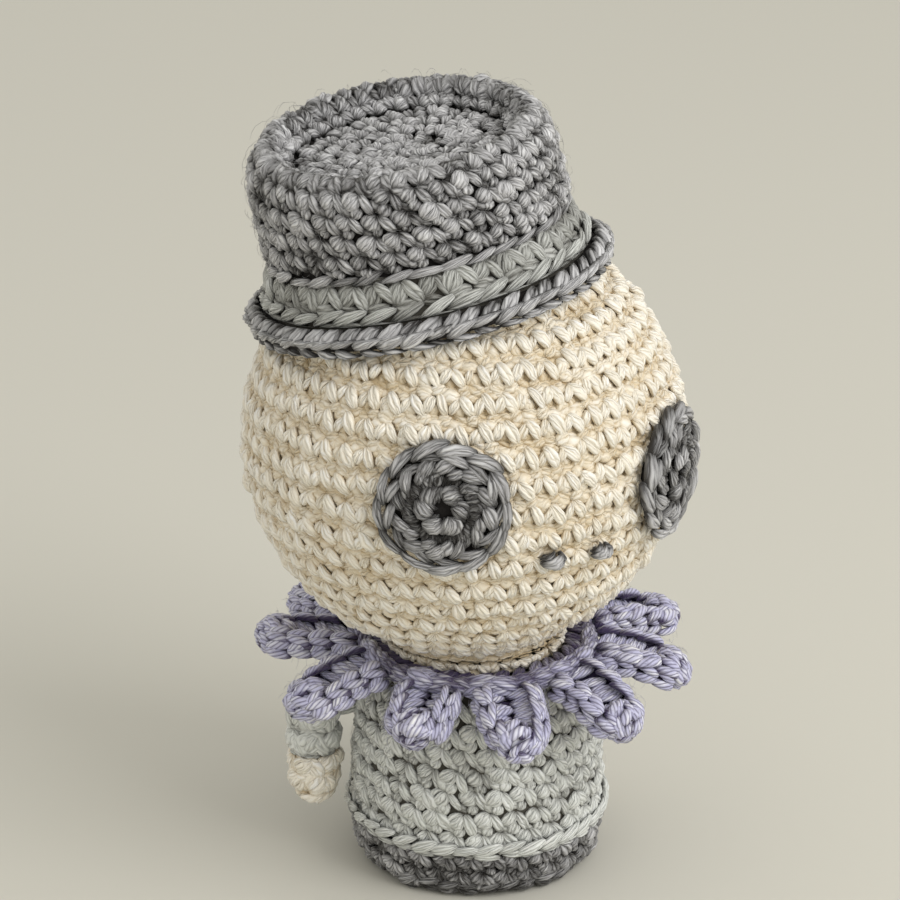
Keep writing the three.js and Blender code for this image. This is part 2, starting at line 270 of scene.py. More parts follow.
class Yarnwork:
    """Gathers strands that are laid on a surface, and makes them one mesh."""

    def __init__(self, seed, depth, wobble):
        self.unit = strand_unit()
        self.random = np.random.default_rng(seed)
        self.depth = depth
        self.wobble = wobble
        self.points = []
        self.tones = []
        self.depths = []

    def lay(self, legs, place, across, along, width, height, turn=1.0):
        """Lays the legs in a row of cells that start at across and along on the surface.
        Width and height are a cell's, in millimetres, and turn scales a width to the
        surface's own measure across."""
        across = np.atleast_1d(np.asarray(across, float))[:, None]
        along = np.atleast_1d(np.asarray(along, float))[:, None]
        count = len(across)
        x, y, z = self.unit["points"].T
        share = (z + 1) / 2
        hump = np.sin(np.pi * share)
        spread = hump**BUNDLE_TAPER
        cell = np.array([width, height, 1.0])
        tone = self.random.random((count, 1))
        shove = self.random.normal(0, self.wobble, (count, 1, 3))
        tilt = self.random.normal(0, STITCH_TILT, (count, 1))
        for leg in legs:
            stray = self.random.normal(0, self.wobble * LEG_STRAY, (2, count, 1, 3)) + shove
            start = np.array(leg.start) * cell + stray[0]
            end = np.array(leg.end) * cell + stray[1]
            line = end - start
            length = np.hypot(line[..., 0], line[..., 1])
            side_u = -line[..., 1] / length
            side_v = line[..., 0] / length
            plump = (1 + self.random.normal(0, GIRTH_SPREAD, (count, 1))) * (1 + leg.swell * z)
            slim = STRAND_OVERLAP / leg.strands if leg.strands > 1 else 1.0
            for strand in range(leg.strands):
                shift = (2 * strand + 1 - leg.strands) / leg.strands
                shift = shift + self.random.normal(0, SPACING_SPREAD, (count, 1))
                offset = (x * slim + shift * spread) * leg.width * plump + leg.bow * hump
                u = start[..., 0] + line[..., 0] * share + side_u * offset
                v = start[..., 1] + line[..., 1] * share + side_v * offset
                u, v = u + tilt * (v - height / 2), v - tilt * (u - width / 2)
                rise = leg.arch - STRAND_FALL * leg.thickness * shift**2
                w = start[..., 2] + line[..., 2] * share + rise * hump
                w = w + y * leg.thickness * min(1.0, slim * STRAND_PLUMPNESS) * plump
                shine = (tone + self.random.random((count, 1))) / 2
                self.add(place(across + u * turn, along + v, w), w, shine)

    def add(self, points, out, tone):
        """Keeps one leg's points, its tone and how far each point stands out."""
        self.points.append(points.reshape(-1, 3))
        self.tones.append(np.broadcast_to(tone, out.shape).ravel())
        # The share of the depth at which each point stands; the yarn's material paints shade down by it
        self.depths.append(np.clip(out / self.depth, 0, 1).ravel())

    def mesh_object(self, name, material):
        """One object with every strand laid so far."""
        points = np.concatenate(self.points) * MM
        each = len(self.unit["points"])
        copies = len(points) // each
        corners = self.unit["corners"]
        starts = self.unit["starts"]
        mesh = bpy.data.meshes.new(name)
        mesh.vertices.add(len(points))
        mesh.vertices.foreach_set("co", points.ravel())
        mesh.loops.add(len(corners) * copies)
        number = np.arange(copies)[:, None]
        mesh.loops.foreach_set("vertex_index", (corners + each * number).ravel())
        mesh.polygons.add(len(starts) * copies)
        mesh.polygons.foreach_set("loop_start", (starts + len(corners) * number).ravel())
        mesh.update(calc_edges=True)
        mesh.validate()
        strand = mesh.uv_layers.new(name="strand")
        strand.data.foreach_set("uv", np.tile(self.unit["uv"].ravel(), copies))
        for label, values in (("tone", self.tones), ("depth", self.depths)):
            layer = mesh.attributes.new(label, "FLOAT", "POINT")
            layer.data.foreach_set("value", np.concatenate(values).astype(np.float32))
        mesh.shade_smooth()
        return place_object(name, mesh, material)


def place_object(name, mesh, material):
    piece = bpy.data.objects.new(name, mesh)
    bpy.context.scene.collection.objects.link(piece)
    mesh.materials.clear()
    mesh.materials.append(material)
    return piece


# Surfaces that stitches are laid on

def resampled(outline, spacing=0.25):
    """The outline as evenly spaced points with its corners rounded a little."""
    outline = np.array(outline, float)
    steps = np.hypot(*np.diff(outline, axis=0).T)
    reach = np.concatenate([[0], np.cumsum(steps)])
    at = np.linspace(0, reach[-1], max(8, int(reach[-1] / spacing)))
    return at, np.stack([np.interp(at, reach, outline[:, i]) for i in (0, 1)], 1)


def softened(values, reach=3):
    """The values averaged with their neighbours."""
    window = np.ones(2 * reach + 1) / (2 * reach + 1)
    padded = np.concatenate([values[:1].repeat(reach), values, values[-1:].repeat(reach)])
    return np.convolve(padded, window, "valid")


class TurnedSurface:
    """An outline of (radius, height) turned about an axis. Across is the bearing in
    radians and along is the way up the outline from its first point."""

    def __init__(self, outline, origin=(0, 0, 0), axis=UP, slump=None):
        self.reach, line = resampled(outline)
        self.radius, self.height = line.T
        out_r = softened(np.gradient(self.height, self.reach))
        out_h = softened(-np.gradient(self.radius, self.reach))
        size = np.hypot(out_r, out_h)
        self.out_r, self.out_h = out_r / size, out_h / size
        self.origin = np.array(origin, float)
        self.turn = np.array(UP.rotation_difference(Vector(axis)).to_matrix())
        self.slump = slump
        self.length = self.reach[-1]

    def radius_at(self, along):
        return float(np.interp(along, self.reach, self.radius))

    def __call__(self, across, along, out):
        def at(values):
            return np.interp(along, self.reach, values)

        radius = at(self.radius) + at(self.out_r) * out
        height = at(self.height) + at(self.out_h) * out
        x, y = radius * np.sin(across), -radius * np.cos(across)
        if self.slump:
            level, share, width = self.slump
            height = level + (height - level) * (1 + share * y / width)
        return np.stack([x, y, height], -1) @ self.turn.T + self.origin


class EdgeSurface:
    """A strip along a curve. Along is the way up the curve in millimetres, across is to
    its side and out is away from it."""

    def __init__(self, curve, outwards):
        curve = np.array(curve, float)
        steps = np.linalg.norm(np.diff(curve, axis=0), axis=1)
        self.reach = np.concatenate([[0], np.cumsum(steps)])
        self.curve = curve
        forward = np.gradient(curve, self.reach, axis=0)
        forward /= np.linalg.norm(forward, axis=1, keepdims=True)
        outwards = np.broadcast_to(np.array(outwards, float), curve.shape)
        side = np.cross(forward, outwards)
        self.side = side / np.linalg.norm(side, axis=1, keepdims=True)
        self.outwards = np.cross(self.side, forward)
        self.forward = forward
        self.length = self.reach[-1]

    def __call__(self, across, along, out):
        def at(values):
            return np.stack([np.interp(along, self.reach, values[:, i]) for i in range(3)], -1)

        beyond = along - np.clip(along, 0, self.length)
        spot = at(self.curve) + at(self.forward) * beyond[..., None]
        return spot + at(self.side) * across[..., None] + at(self.outwards) * out[..., None]


def edit_faces(piece):
    """Opens the piece alone in edit mode with all of it selected."""
    bpy.ops.object.select_all(action="DESELECT")
    bpy.context.view_layer.objects.active = piece
    piece.select_set(True)
    bpy.ops.object.mode_set(mode="EDIT")
    bpy.ops.mesh.select_all(action="SELECT")


def close_faces():
    """Turns the selected faces outwards and leaves edit mode."""
    bpy.ops.mesh.normals_make_consistent(inside=False)
    bpy.ops.object.mode_set(mode="OBJECT")


FORM_RINGS = 48  # at least so many rings of faces along a form's outline
MERGE_DISTANCE = 0.01 * MM


def turned_form(name, surface, material, steps=64, out=0.0, capped=True):
    """A smooth closed form under the stitches: the surface's outline, moved out, spun about
    its axis and, where it isn't a closed loop, capped on the axis."""
    outline = np.stack([surface.radius + surface.out_r * out, surface.height + surface.out_h * out], 1)
    outline[:, 0] = np.maximum(outline[:, 0], 0)
    outline = outline[:: max(1, len(outline) // FORM_RINGS)]
    if capped:
        outline = np.concatenate([[(0, outline[0, 1])], outline, [(0, outline[-1, 1])]])
    mesh = bpy.data.meshes.new(name)
    profile = [(r * MM, 0, h * MM) for r, h in outline]
    mesh.from_pydata(profile, [(i, i + 1) for i in range(len(profile) - 1)], [])
    form = place_object(name, mesh, material)
    edit_faces(form)
    bpy.ops.mesh.spin(steps=steps, angle=TAU, center=(0, 0, 0), axis=(0, 0, 1))
    bpy.ops.mesh.select_all(action="SELECT")
    bpy.ops.mesh.remove_doubles(threshold=MERGE_DISTANCE)
    close_faces()
    points = np.array([v.co for v in form.data.vertices]) / MM
    if surface.slump:
        level, share, width = surface.slump
        points[:, 2] = level + (points[:, 2] - level) * (1 + share * points[:, 1] / width)
    points = (points @ surface.turn.T + surface.origin) * MM
    form.data.vertices.foreach_set("co", points.ravel())
    form.data.update()
    form.data.shade_smooth()
    return form


# Materials

MATH = "ShaderNodeMath"
MIX = "ShaderNodeMix"
NOISE = "ShaderNodeTexNoise"
SHADER = "ShaderNodeBsdfPrincipled"


def add_node(material, kind, inputs=(), **settings):
    """Adds one node. Inputs gives its sockets, by name or in order, a value, another node's
    output, or another node, whose first output is then meant."""
    node = material.node_tree.nodes.new(kind)
    for key, value in settings.items():
        setattr(node, key, value)
    for key, value in inputs.items() if isinstance(inputs, dict) else enumerate(inputs):
        if isinstance(value, bpy.types.Node):
            value = value.outputs[0]
        if isinstance(value, bpy.types.NodeSocket):
            material.node_tree.links.new(value, node.inputs[key])
        else:
            node.inputs[key].default_value = value
    return node


def empty_material(name):
    """A node material with nothing in it yet."""
    material = bpy.data.materials.new(name)
    material.use_nodes = True
    material.node_tree.nodes.clear()
    return material


# Mercerised cotton, spun from fine plies, with light painted into its colour: a painted
# highlight along each ply's crest, and painted shade in the grooves between plies and down between strands
GROOVE_DEPTH_MM = 0.64  # shared among the plies round one strand
COTTON_IOR = 1.5
TONE_SPREAD = 90.0  # sets the strands' patterns so far apart that no two are alike
UNEVEN = {"Scale": 1.0, "Roughness": 0.6}


def cotton_yarn(name, colour, shade, finish):
    """The yarn's material. Its plies wind round each strand on the strand's own UV map."""
    material = empty_material(name)
    node = partial(add_node, material)
    strand = node("ShaderNodeSeparateXYZ", [node("ShaderNodeUVMap", uv_map="strand")])
    tone = node("ShaderNodeAttribute", attribute_name="tone").outputs["Fac"]
    depth = node("ShaderNodeAttribute", attribute_name="depth").outputs["Fac"]
    around, along = strand.outputs["X"], strand.outputs["Y"]

    def on_strand(across, across_scale, along_scale):
        """A place on the strand that no other strand shares, for an uneven pattern."""
        scales = ((across, across_scale), (along, along_scale), (tone, TONE_SPREAD))
        place = [node(MATH, scaled, operation="MULTIPLY") for scaled in scales]
        return node("ShaderNodeCombineXYZ", place)

    sway = node(NOISE, {"Vector": on_strand(around, 1.5, 2.5), **UNEVEN, "Detail": 1.0})
    helix = node(MATH, (around, finish.plies), operation="MULTIPLY")
    helix = node(MATH, (along, finish.turns, helix), operation="MULTIPLY_ADD")
    helix = node(MATH, (sway, finish.sway, helix), operation="MULTIPLY_ADD")
    wave = node(MATH, (helix, math.pi), operation="MULTIPLY")
    wave = node(MATH, (wave,), operation="SINE")
    ply = node(MATH, (wave,), operation="ABSOLUTE")
    ply = node(MATH, (ply, 0.8), operation="POWER")
    fibre = node(NOISE, {"Vector": on_strand(helix, 6.0, 4.0), **UNEVEN, "Detail": 4.0})
    patch = node(NOISE, {"Vector": on_strand(helix, 0.9, 1.6), **UNEVEN, "Detail": 1.0})
    height = node(MATH, (fibre, 0.6, ply), operation="MULTIPLY_ADD")
    groove_depth = GROOVE_DEPTH_MM / finish.plies * MM
    bump = node("ShaderNodeBump", {"Strength": 1.0, "Distance": groove_depth, "Height": height})
    # Painted shade: darker in the grooves between the plies, and down towards the ground between the
    # strands
    crest = node(MATH, (ply, finish.groove, 1.04 - finish.groove), operation="MULTIPLY_ADD")
    lit = node(MATH, (depth, finish.contrast, 1.15 - 0.9 * finish.contrast), operation="MULTIPLY_ADD")
    lit = node(MATH, (lit, 1.0), operation="MINIMUM")
    lit = node(MATH, (lit, crest), operation="MULTIPLY")
    fuzz = node(MATH, (fibre, 0.5), operation="SUBTRACT")
    lit = node(MATH, (fuzz, 1.2, lit), operation="MULTIPLY_ADD")
    colours = {"Factor": lit, "A": (*shade, 1), "B": (*colour, 1)}
    dye_and_painted_shade = node(MIX, colours, data_type="RGBA", clamp_factor=True)
    # Painted highlight: patches along the plies' crests go whiter, the more the higher the strand stands
    painted_highlight = node(MATH, (patch, 0.45), operation="SUBTRACT")
    for part in (node(MATH, (ply, 3.0), operation="MULTIPLY"), depth):
        painted_highlight = node(MATH, (painted_highlight, part), operation="MULTIPLY")
    bright = tuple(c + (1 - c) * finish.lift for c in colour)
    colours = {"Factor": painted_highlight, "A": dye_and_painted_shade.outputs["Result"], "B": (*bright, 1)}
    yarn = node(MIX, colours, data_type="RGBA", clamp_factor=True)
    looks = {
        "Base Color": yarn.outputs["Result"],
        "Roughness": 0.38,
        "IOR": COTTON_IOR,
        "Sheen Weight": 0.2,
        "Sheen Roughness": 0.4,
        "Normal": bump,
    }
    node("ShaderNodeOutputMaterial", {"Surface": node(SHADER, looks)})
    return material


# The back of the stitches, seen only through the holes between them: matted yarn, coloured with painted
# shade
MAT_FIBRE_MM = 0.8


def painted_shade_ground(name, shade, pit):
    """The ground's material: painted shade, darkest between its fibres."""
    material = empty_material(name)
    node = partial(add_node, material)
    place = node("ShaderNodeTexCoord").outputs["Object"]
    fibre = node(NOISE, {"Vector": place, "Scale": 1 / (MAT_FIBRE_MM * MM), "Detail": 4.0})
    dark = tuple(c * pit for c in shade)
    colour = node(MIX, {"Factor": fibre, "A": (*dark, 1), "B": (*shade, 1)}, data_type="RGBA")
    bump = node("ShaderNodeBump", {"Strength": 0.8, "Distance": 0.3 * MM, "Height": fibre})
    looks = {
        "Base Color": colour.outputs["Result"],
        "Roughness": 0.95,
        "IOR": COTTON_IOR,
        "Normal": bump,
    }
    node("ShaderNodeOutputMaterial", {"Surface": node(SHADER, looks)})
    return material


def material_of(name, make):
    return bpy.data.materials.get(name) or make(name)


class Finish(NamedTuple):
    """How sharply the painted shade in a yarn's colour deepens down into the holes, less in the
    pale ones since light passes further through them, how white its painted highlights are,
    how dark the painted shade in the grooves between its plies is, how many go round a strand,
    how tightly and how unevenly they are twisted, and how dark the painted shade on its ground is."""

    contrast: float
    lift: float
    groove: float
    plies: int
    turns: float
    sway: float
    pit: float


FINISHES = {
    "cream": Finish(1.7, 0.9, 0.28, 4, 1.6, 2.6, 1.0),
    "light_grey": Finish(1.4, 0.7, 0.32, 4, 1.8, 2.4, 1.1),
    "dark_grey": Finish(2.3, 0.8, 0.38, 4, 1.8, 2.4, 0.5),
    "lavender": Finish(2.3, 1.0, 0.80, 6, 6.2, 0.6, 0.6),
}


def yarn_of(slot):
    """The yarn and its ground, which is coloured with painted shade, for one of the yarn slots."""
    settings = bpy.context.scene.doll_yarn
    short = slot.replace("_yarn", "")
    colour = tuple(getattr(settings, short))
    shade = tuple(getattr(settings, short + "_shade"))
    finish = FINISHES[short]
    yarn = material_of(
        f"mercerised cotton {short.replace('_', ' ')}",
        lambda name: cotton_yarn(name, colour, shade, finish),
    )
    ground = material_of(
        f"matted cotton {short.replace('_', ' ')}",
        lambda name: painted_shade_ground(name, shade, finish.pit),
    )
    return yarn, ground


def dress(piece, body, slot, replaced=()):
    """Puts the piece on its body and hides the CAD nodes that it stands for. Its slot is not used."""
    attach(piece, body)
    if replaced:
        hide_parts(*replaced)


# Stitches, each in a cell whose across runs to the right and whose along runs up

# The brim's slanted post
BRIM_POST = Leg((-0.1, -0.3, 0.1), (1.3, 1.15, 0.0), 1.15, 0.95, arch=0.75, strands=2)
# The head's tight single crochet: a long left leg and a short right one make a V
HEAD_STITCH = (
    Leg((0.00, 1.12, 0.62), (0.56, 0.34, 0.70), 0.86, 0.80, arch=0.80, bow=0.06, strands=2),
    Leg((1.00, 1.04, 0.55), (0.64, 0.46, 0.62), 0.74, 0.74, arch=0.66, bow=-0.04, strands=2),
    Leg((0.20, 0.14, 0.16), (0.86, 0.36, 0.18), 0.96, 0.84, arch=0.32, strands=2),
    Leg((-0.36, 0.36, 0.06), (0.36, 0.08, 0.06), 1.10, 0.80, arch=0.34, strands=2),
    Leg((0.56, 0.18, 0.05), (1.40, -0.06, 0.05), 1.10, 0.76, arch=0.30),
    Leg((-0.02, 0.86, 0.05), (-0.10, 0.30, 0.05), 1.20, 0.74, arch=0.30),
    Leg((0.24, 1.06, 0.05), (0.86, 0.86, 0.05), 1.05, 0.74, arch=0.30),
)
# The hat's and body's looser one: a plump bump whose plies run up to the right, a small
# one under it and a slanted leaf beside it
BUMP_STITCH = (
    Leg((0.02, 0.42, 0.25), (0.60, 1.02, 0.25), 1.58, 1.15, arch=0.98, strands=4),
    Leg((0.34, -0.06, 0.15), (0.62, 0.46, 0.15), 0.86, 0.85, arch=0.60, strands=2),
    Leg((0.58, 1.04, 0.15), (1.03, 0.06, 0.20), 0.84, 0.84, arch=0.75, bow=0.15, strands=2),
    Leg((-0.08, 0.54, 0.00), (0.34, 0.00, 0.00), 0.80, 0.65, arch=0.36),
)
# One loop of a chain that runs across: an upper and a lower leg that part to the right
CHAIN_LOOP = (
    Leg((-0.26, 0.44, 0.35), (1.20, 0.96, 0.55), 0.98, 0.98, arch=0.78, bow=0.16, strands=3),
    Leg((-0.05, 0.34, 0.15), (1.22, -0.06, 0.20), 0.84, 0.82, arch=0.60, bow=-0.14, strands=2),
)
# The ridges' one, whose lower leg hides behind the round below
RIDGE_LOOP = (
    Leg((-0.30, 0.18, 0.05), (1.17, 0.84, 0.60), 0.86, 0.88, arch=0.74, bow=0.14, strands=3),
    Leg((-0.10, 0.10, 0.00), (1.10, 0.00, 0.00), 0.70, 0.66, arch=0.36, strands=2),
)
# The hat band's bump, low and tight between two ridges
BAND_STITCH = (
    Leg((0.00, 0.36, 0.10), (0.62, 1.00, 0.10), 1.60, 1.05, arch=0.66, strands=4),
    Leg((0.56, 1.04, 0.05), (1.03, 0.10, 0.10), 0.95, 0.84, arch=0.60, bow=0.15, strands=2),
    Leg((-0.10, 0.98, -0.20), (0.95, 1.12, -0.20), 1.00, 0.80, arch=0.20, strands=2),
    Leg((-0.10, 0.30, -0.10), (0.80, 0.10, -0.10), 1.00, 0.80, arch=0.35, strands=2),
)
# One of the two rounds that roll over the crown's rim
RIM_STITCH = (
    Leg((-0.06, 0.24, 0.10), (0.64, 0.98, 0.15), 1.50, 1.15, arch=0.90, strands=4),
    Leg((0.56, 1.10, 0.05), (1.02, 0.00, 0.10), 1.00, 0.90, arch=0.60, strands=2),
    Leg((-0.12, 0.30, 0.00), (0.66, -0.18, 0.00), 1.10, 0.85, arch=0.45, strands=2),
)
STAGGER = 0.38  # each round starts this share of a stitch past the one below
SEAM = math.pi  # and a spiral's rounds meet at the doll's back


def lay_rings(work, surface, starts, height, counts, stitch):
    """Joined rounds of stitches, each with its own count."""
    for number, (start, count) in enumerate(zip(starts, counts)):
        cell = TAU * surface.radius_at(start + height / 2) / count
        across = (np.arange(count) + STAGGER * number) * TAU / count
        work.lay(stitch, surface, across, np.full(count, start), cell, height, turn=TAU / count / cell)


def spiral_turns(surface, starts, height, counts):
    """The turns of one long spiral: where its stitches start, and the width of each."""
    bearing = SEAM
    for start, count in zip(starts, counts):
        pitch = TAU / (count + STAGGER)
        across = bearing + np.arange(count) * pitch
        along = starts[0] + height * ((across - SEAM) / TAU - 0.5)
        bearing += count * pitch
        yield across, along, pitch * surface.radius_at(start + height / 2), pitch


def ball_counts(surface, starts, height, widest):
    """How many stitches each round needs to keep one width, in whole increases."""
    top = surface.radius.max()
    counts = []
    for start in starts:
        share = surface.radius_at(start + height / 2) / top
        counts.append(max(6, int(round(widest * share))))
    return counts


def arc(centre_r, centre_h, across, up, start, end, steps=24):
    """Points along an ellipse's arc, the angles from the outside towards the top."""
    angles = np.radians(np.linspace(start, end, steps))
    return [(centre_r + across * math.cos(a), centre_h + up * math.sin(a)) for a in angles]


def yarnwork(seed, depth, loose=1.0):
    """An empty Yarnwork. Depth, in metres, is how far off the ground its yarn's painted shade gives
    way to its full colour, and loose scales how far its strands stray."""
    return Yarnwork(seed, depth / MM, loose * bpy.context.scene.doll_yarn.wobble / MM)


# Fine fibres that stand off worn yarn, in every direction, in millimetres
FIBRE_HEADINGS = 6
FIBRE_GIRTH = 0.02
FIBRE_LENGTH = 2.8


def stray_fibres(work, surface, spread, low, high, count, turn=1.0):
    """Scatters fibres over the surface, the same count for each heading."""
    for heading in np.arange(FIBRE_HEADINGS) * TAU / FIBRE_HEADINGS:
        end = (math.cos(heading), math.sin(heading), 1.5)
        fibre = Leg((0, 0, 1.0), end, FIBRE_GIRTH, FIBRE_GIRTH, arch=0.5, bow=0.4)
        across = work.random.uniform(-spread, spread, count)
        along = work.random.uniform(low, high, count)
        work.lay((fibre,), surface, across, along, FIBRE_LENGTH, FIBRE_LENGTH, turn=turn)


# Where the head is, from its CAD node, and how many meshes its stitches are shared among
HEAD_RADIUS = size_of("head_cover")[0] / 2
HEAD_TOP = middle_of("head_cover")[2] + size_of("head_cover")[2] / 2
HEAD_CENTRE = np.array([*middle_of("head_cover")[:2], HEAD_TOP - HEAD_RADIUS])
NECK_RADIUS = size_of("neck_lower_round")[0] / 2
HEAD_PARTS = 4


class DOLL_OT_head(bpy.types.Operator):
    """Crochet the head: a stuffed ball in a spiral of V stitches"""

    bl_idname = "doll.head"
    bl_label = "Head"

    def execute(self, context):
        settings = context.scene.doll_head
        yarn, ground = yarn_of("cream_yarn")
        depth = settings.depth / MM
        lowest = -math.degrees(math.acos(NECK_RADIUS / HEAD_RADIUS))
        radius = HEAD_RADIUS - depth
        ball = TurnedSurface(arc(0, 0, radius, radius, lowest, 90, 160), HEAD_CENTRE)
        form = turned_form("head_form", ball, ground, steps=72, out=0.25)
        dress(form, "head", "cream_yarn", ("head_cover", "head_stuffing"))
        height = ball.length / settings.rounds
        starts = height * np.arange(settings.rounds)
        counts = ball_counts(ball, starts, height, settings.stitches)
        turns = list(spiral_turns(ball, starts, height, counts))
        quarter = sum(counts) / HEAD_PARTS
        parts = [[] for _ in range(HEAD_PARTS)]
        for turn, below in zip(turns, np.cumsum([0, *counts])):
            parts[int(below / quarter)].append(turn)
        for number, part in enumerate(parts, 1):
            work = yarnwork(10 + number, 1.35 * settings.depth)
            for across, along, cell, pitch in part:
                work.lay(HEAD_STITCH, ball, across, along, cell, height, turn=pitch / cell)
            stitches = work.mesh_object(f"head_stitches_{number}", yarn)
            dress(stitches, "head", "cream_yarn")
        return {"FINISHED"}


def face_axes(outward):
    """The directions to the right and up on the head where it faces outward."""
    sideways = np.cross((0, 0, 1), outward)
    right = sideways / np.linalg.norm(sideways)
    return right, np.cross(outward, right)


def head_drop(distance):
    """How far the head has curved back at a distance from where a plane touches it."""
    return np.sqrt(np.maximum(HEAD_RADIUS**2 - distance**2, 0)) - HEAD_RADIUS


class DiscSurface:
    """A round face that follows the head: across is the bearing round its centre, along
    is the way out from the centre and out is off the head."""

    def __init__(self, centre, outward):
        self.centre = centre
        self.outward = outward
        self.right, self.up = face_axes(outward)

    def __call__(self, across, along, out):
        bend = head_drop(np.abs(along))
        along = along[..., None]
        spot = self.right * np.sin(across)[..., None] + self.up * np.cos(across)[..., None]
        return self.centre + spot * along + self.outward * (out + bend)[..., None]


# The eye's stitches: bumps round its hole, posts, loops over them and the chain edge
EYE_BUMP = (
    Leg((-0.05, 0.15, 0.4), (0.80, 0.90, 0.4), 1.35, 1.00, arch=0.75, strands=4),
    Leg((0.55, 0.00, 0.1), (1.05, 0.80, 0.2), 0.80, 0.75, arch=0.50, strands=2),
)
EYE_POST = (
    Leg((0.05, 0.0, 0.0), (0.40, 1.0, 0.1), 0.90, 0.75, arch=0.35, strands=2),
    Leg((0.60, 0.0, 0.0), (0.85, 1.0, 0.1), 0.80, 0.75, arch=0.25, strands=2),
)
EYE_LOOP = (
    Leg((-0.25, 0.05, 0.3), (0.75, 0.95, 0.4), 1.05, 0.90, arch=0.80, bow=0.1, strands=3),
    Leg((0.35, -0.10, 0.2), (1.15, 0.45, 0.3), 0.85, 0.80, arch=0.55, strands=2),
)
EYE_EDGE = (
    Leg((-0.30, 0.40, 0.3), (1.15, 0.80, 0.3), 0.84, 0.95, arch=0.75, bow=0.30, strands=2),
    Leg((-0.15, 0.30, 0.3), (1.10, -0.05, 0.3), 0.72, 0.85, arch=0.60, bow=0.10, strands=2),
)
EYE_LIFT = 1.15  # from the head's stitches to the ground of the eye's
# The ground's outline from its rim in: shares of the eye's radius, and heights
EYE_PROFILE = ((0.84, -0.6), (0.86, 0.1), (0.74, 0.7), (0.5, 0.9))


def off_axis(points, axis):
    """How far each point lies from an axis through the origin."""
    return np.linalg.norm(points - np.outer(points @ axis, axis), axis=1)


class DOLL_OT_eyes(bpy.types.Operator):
    """Crochet the eyes: a round of bumps about a hole inside a chain edge"""

    bl_idname = "doll.eyes"
    bl_label = "Eyes"

    def execute(self, context):
        settings = context.scene.doll_eyes
        yarn, ground = yarn_of("dark_grey_yarn")
        for seed, side in ((21, "right"), (22, "left")):
            points = points_of(f"{side}_eye")
            outward = points.mean(0) - HEAD_CENTRE
            outward /= np.linalg.norm(outward)
            radius = off_axis(points - HEAD_CENTRE, outward).max()
            face = DiscSurface(HEAD_CENTRE + outward * (HEAD_RADIUS + EYE_LIFT), outward)
            # Stitch, count, the ring's start and height, and the radius that its widths fit
            rings = (
                (EYE_POST, settings.middle_stitches, 4.0, 2.8, 5.4),
                (EYE_BUMP, settings.inner_stitches, 1.3, 3.4, 3.0),
                (EYE_LOOP, settings.middle_stitches + 1, 5.9, 3.0, 7.4),
                (EYE_EDGE, settings.edge_stitches, 8.4, 3.2, 10.0),
            )
            work = yarnwork(seed, 2.2 * MM, loose=1.15)
            for stitch, count, start, height, reach in rings:
                width = TAU * reach / count
                bearings = np.arange(count) * TAU / count
                work.lay(stitch, face, bearings, np.full(count, start), width, height, turn=1 / reach)
            stitches = work.mesh_object(f"{side}_eye_stitches", yarn)
            dress(stitches, "head", "dark_grey_yarn")
            profile = [(radius * share, height) for share, height in EYE_PROFILE] + [(0.8, 0.9)]
            profile = [(r, h + EYE_LIFT - 1.0 + float(head_drop(r))) for r, h in profile]
            disc = TurnedSurface(profile, HEAD_CENTRE + outward * HEAD_RADIUS, outward)
            form = turned_form(f"{side}_eye_disc", disc, ground, steps=32)
            dress(form, "head", "dark_grey_yarn", (f"{side}_eye",))
        return {"FINISHED"}


# A nostril's strands, wrapped over one another in several directions
NOSTRIL_WRAPS = (
    Leg((-2.1, -0.9, 0.2), (1.3, 1.6, 0.4), 0.80, 0.75, arch=1.5, strands=2),
    Leg((-2.2, 0.4, 0.0), (0.2, 2.1, 0.1), 0.66, 0.65, arch=1.1, strands=2),
    Leg((-0.9, -1.8, 0.1), (2.1, 0.4, 0.2), 0.70, 0.70, arch=1.3, strands=2),
    Leg((-1.6, 1.4, 0.0), (-1.2, -1.5, 0.0), 0.62, 0.65, arch=0.8),
    Leg((0.8, 1.8, 0.0), (2.1, -0.6, 0.0), 0.62, 0.65, arch=0.7),
)
NOSTRIL_WIDTH = 1.12  # what one unit across the wraps stands for, in millimetres
NOSTRIL_HEIGHT = 0.78  # and one unit up


class DOLL_OT_nostrils(bpy.types.Operator):
    """Wrap the two nostril knots"""

    bl_idname = "doll.nostrils"
    bl_label = "Nostrils"

    def execute(self, context):
        yarn, _ground = yarn_of("dark_grey_yarn")
        for seed, side, size in ((31, "right", 1.0), (32, "left", 0.82)):
            points = points_of(f"{side}_nostril")
            centre = (points.max(0) + points.min(0)) / 2
            outward = centre - HEAD_CENTRE
            outward /= np.linalg.norm(outward)
            spot = HEAD_CENTRE + outward * HEAD_RADIUS
            _right, up = face_axes(outward)
            patch = EdgeSurface([spot - up * 4, spot + up * 4], outward)
            work = yarnwork(seed, 2.3 * MM)
            work.lay(NOSTRIL_WRAPS, patch, [0], [4], NOSTRIL_WIDTH * size, NOSTRIL_HEIGHT * size)
            knot = work.mesh_object(f"{side}_nostril_knot", yarn)
            dress(knot, "head", "dark_grey_yarn", (f"{side}_nostril",))
        return {"FINISHED"}


# The body's outline, from its CAD nodes. The body cover is widest at its ridge
BAND_RADIUS = size_of("base_band")[0] / 2
BAND_TOP = size_of("base_band")[2]
BODY_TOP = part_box("body_cover")[1].z / MM
RIDGE_RADIUS = size_of("body_cover")[0] / 2
BELLY_RADIUS = RIDGE_RADIUS - 0.6
BELLY_HEIGHT = 17.0
CHEST_RADIUS = BELLY_RADIUS - 0.5
CHEST_HEIGHT = 24.0


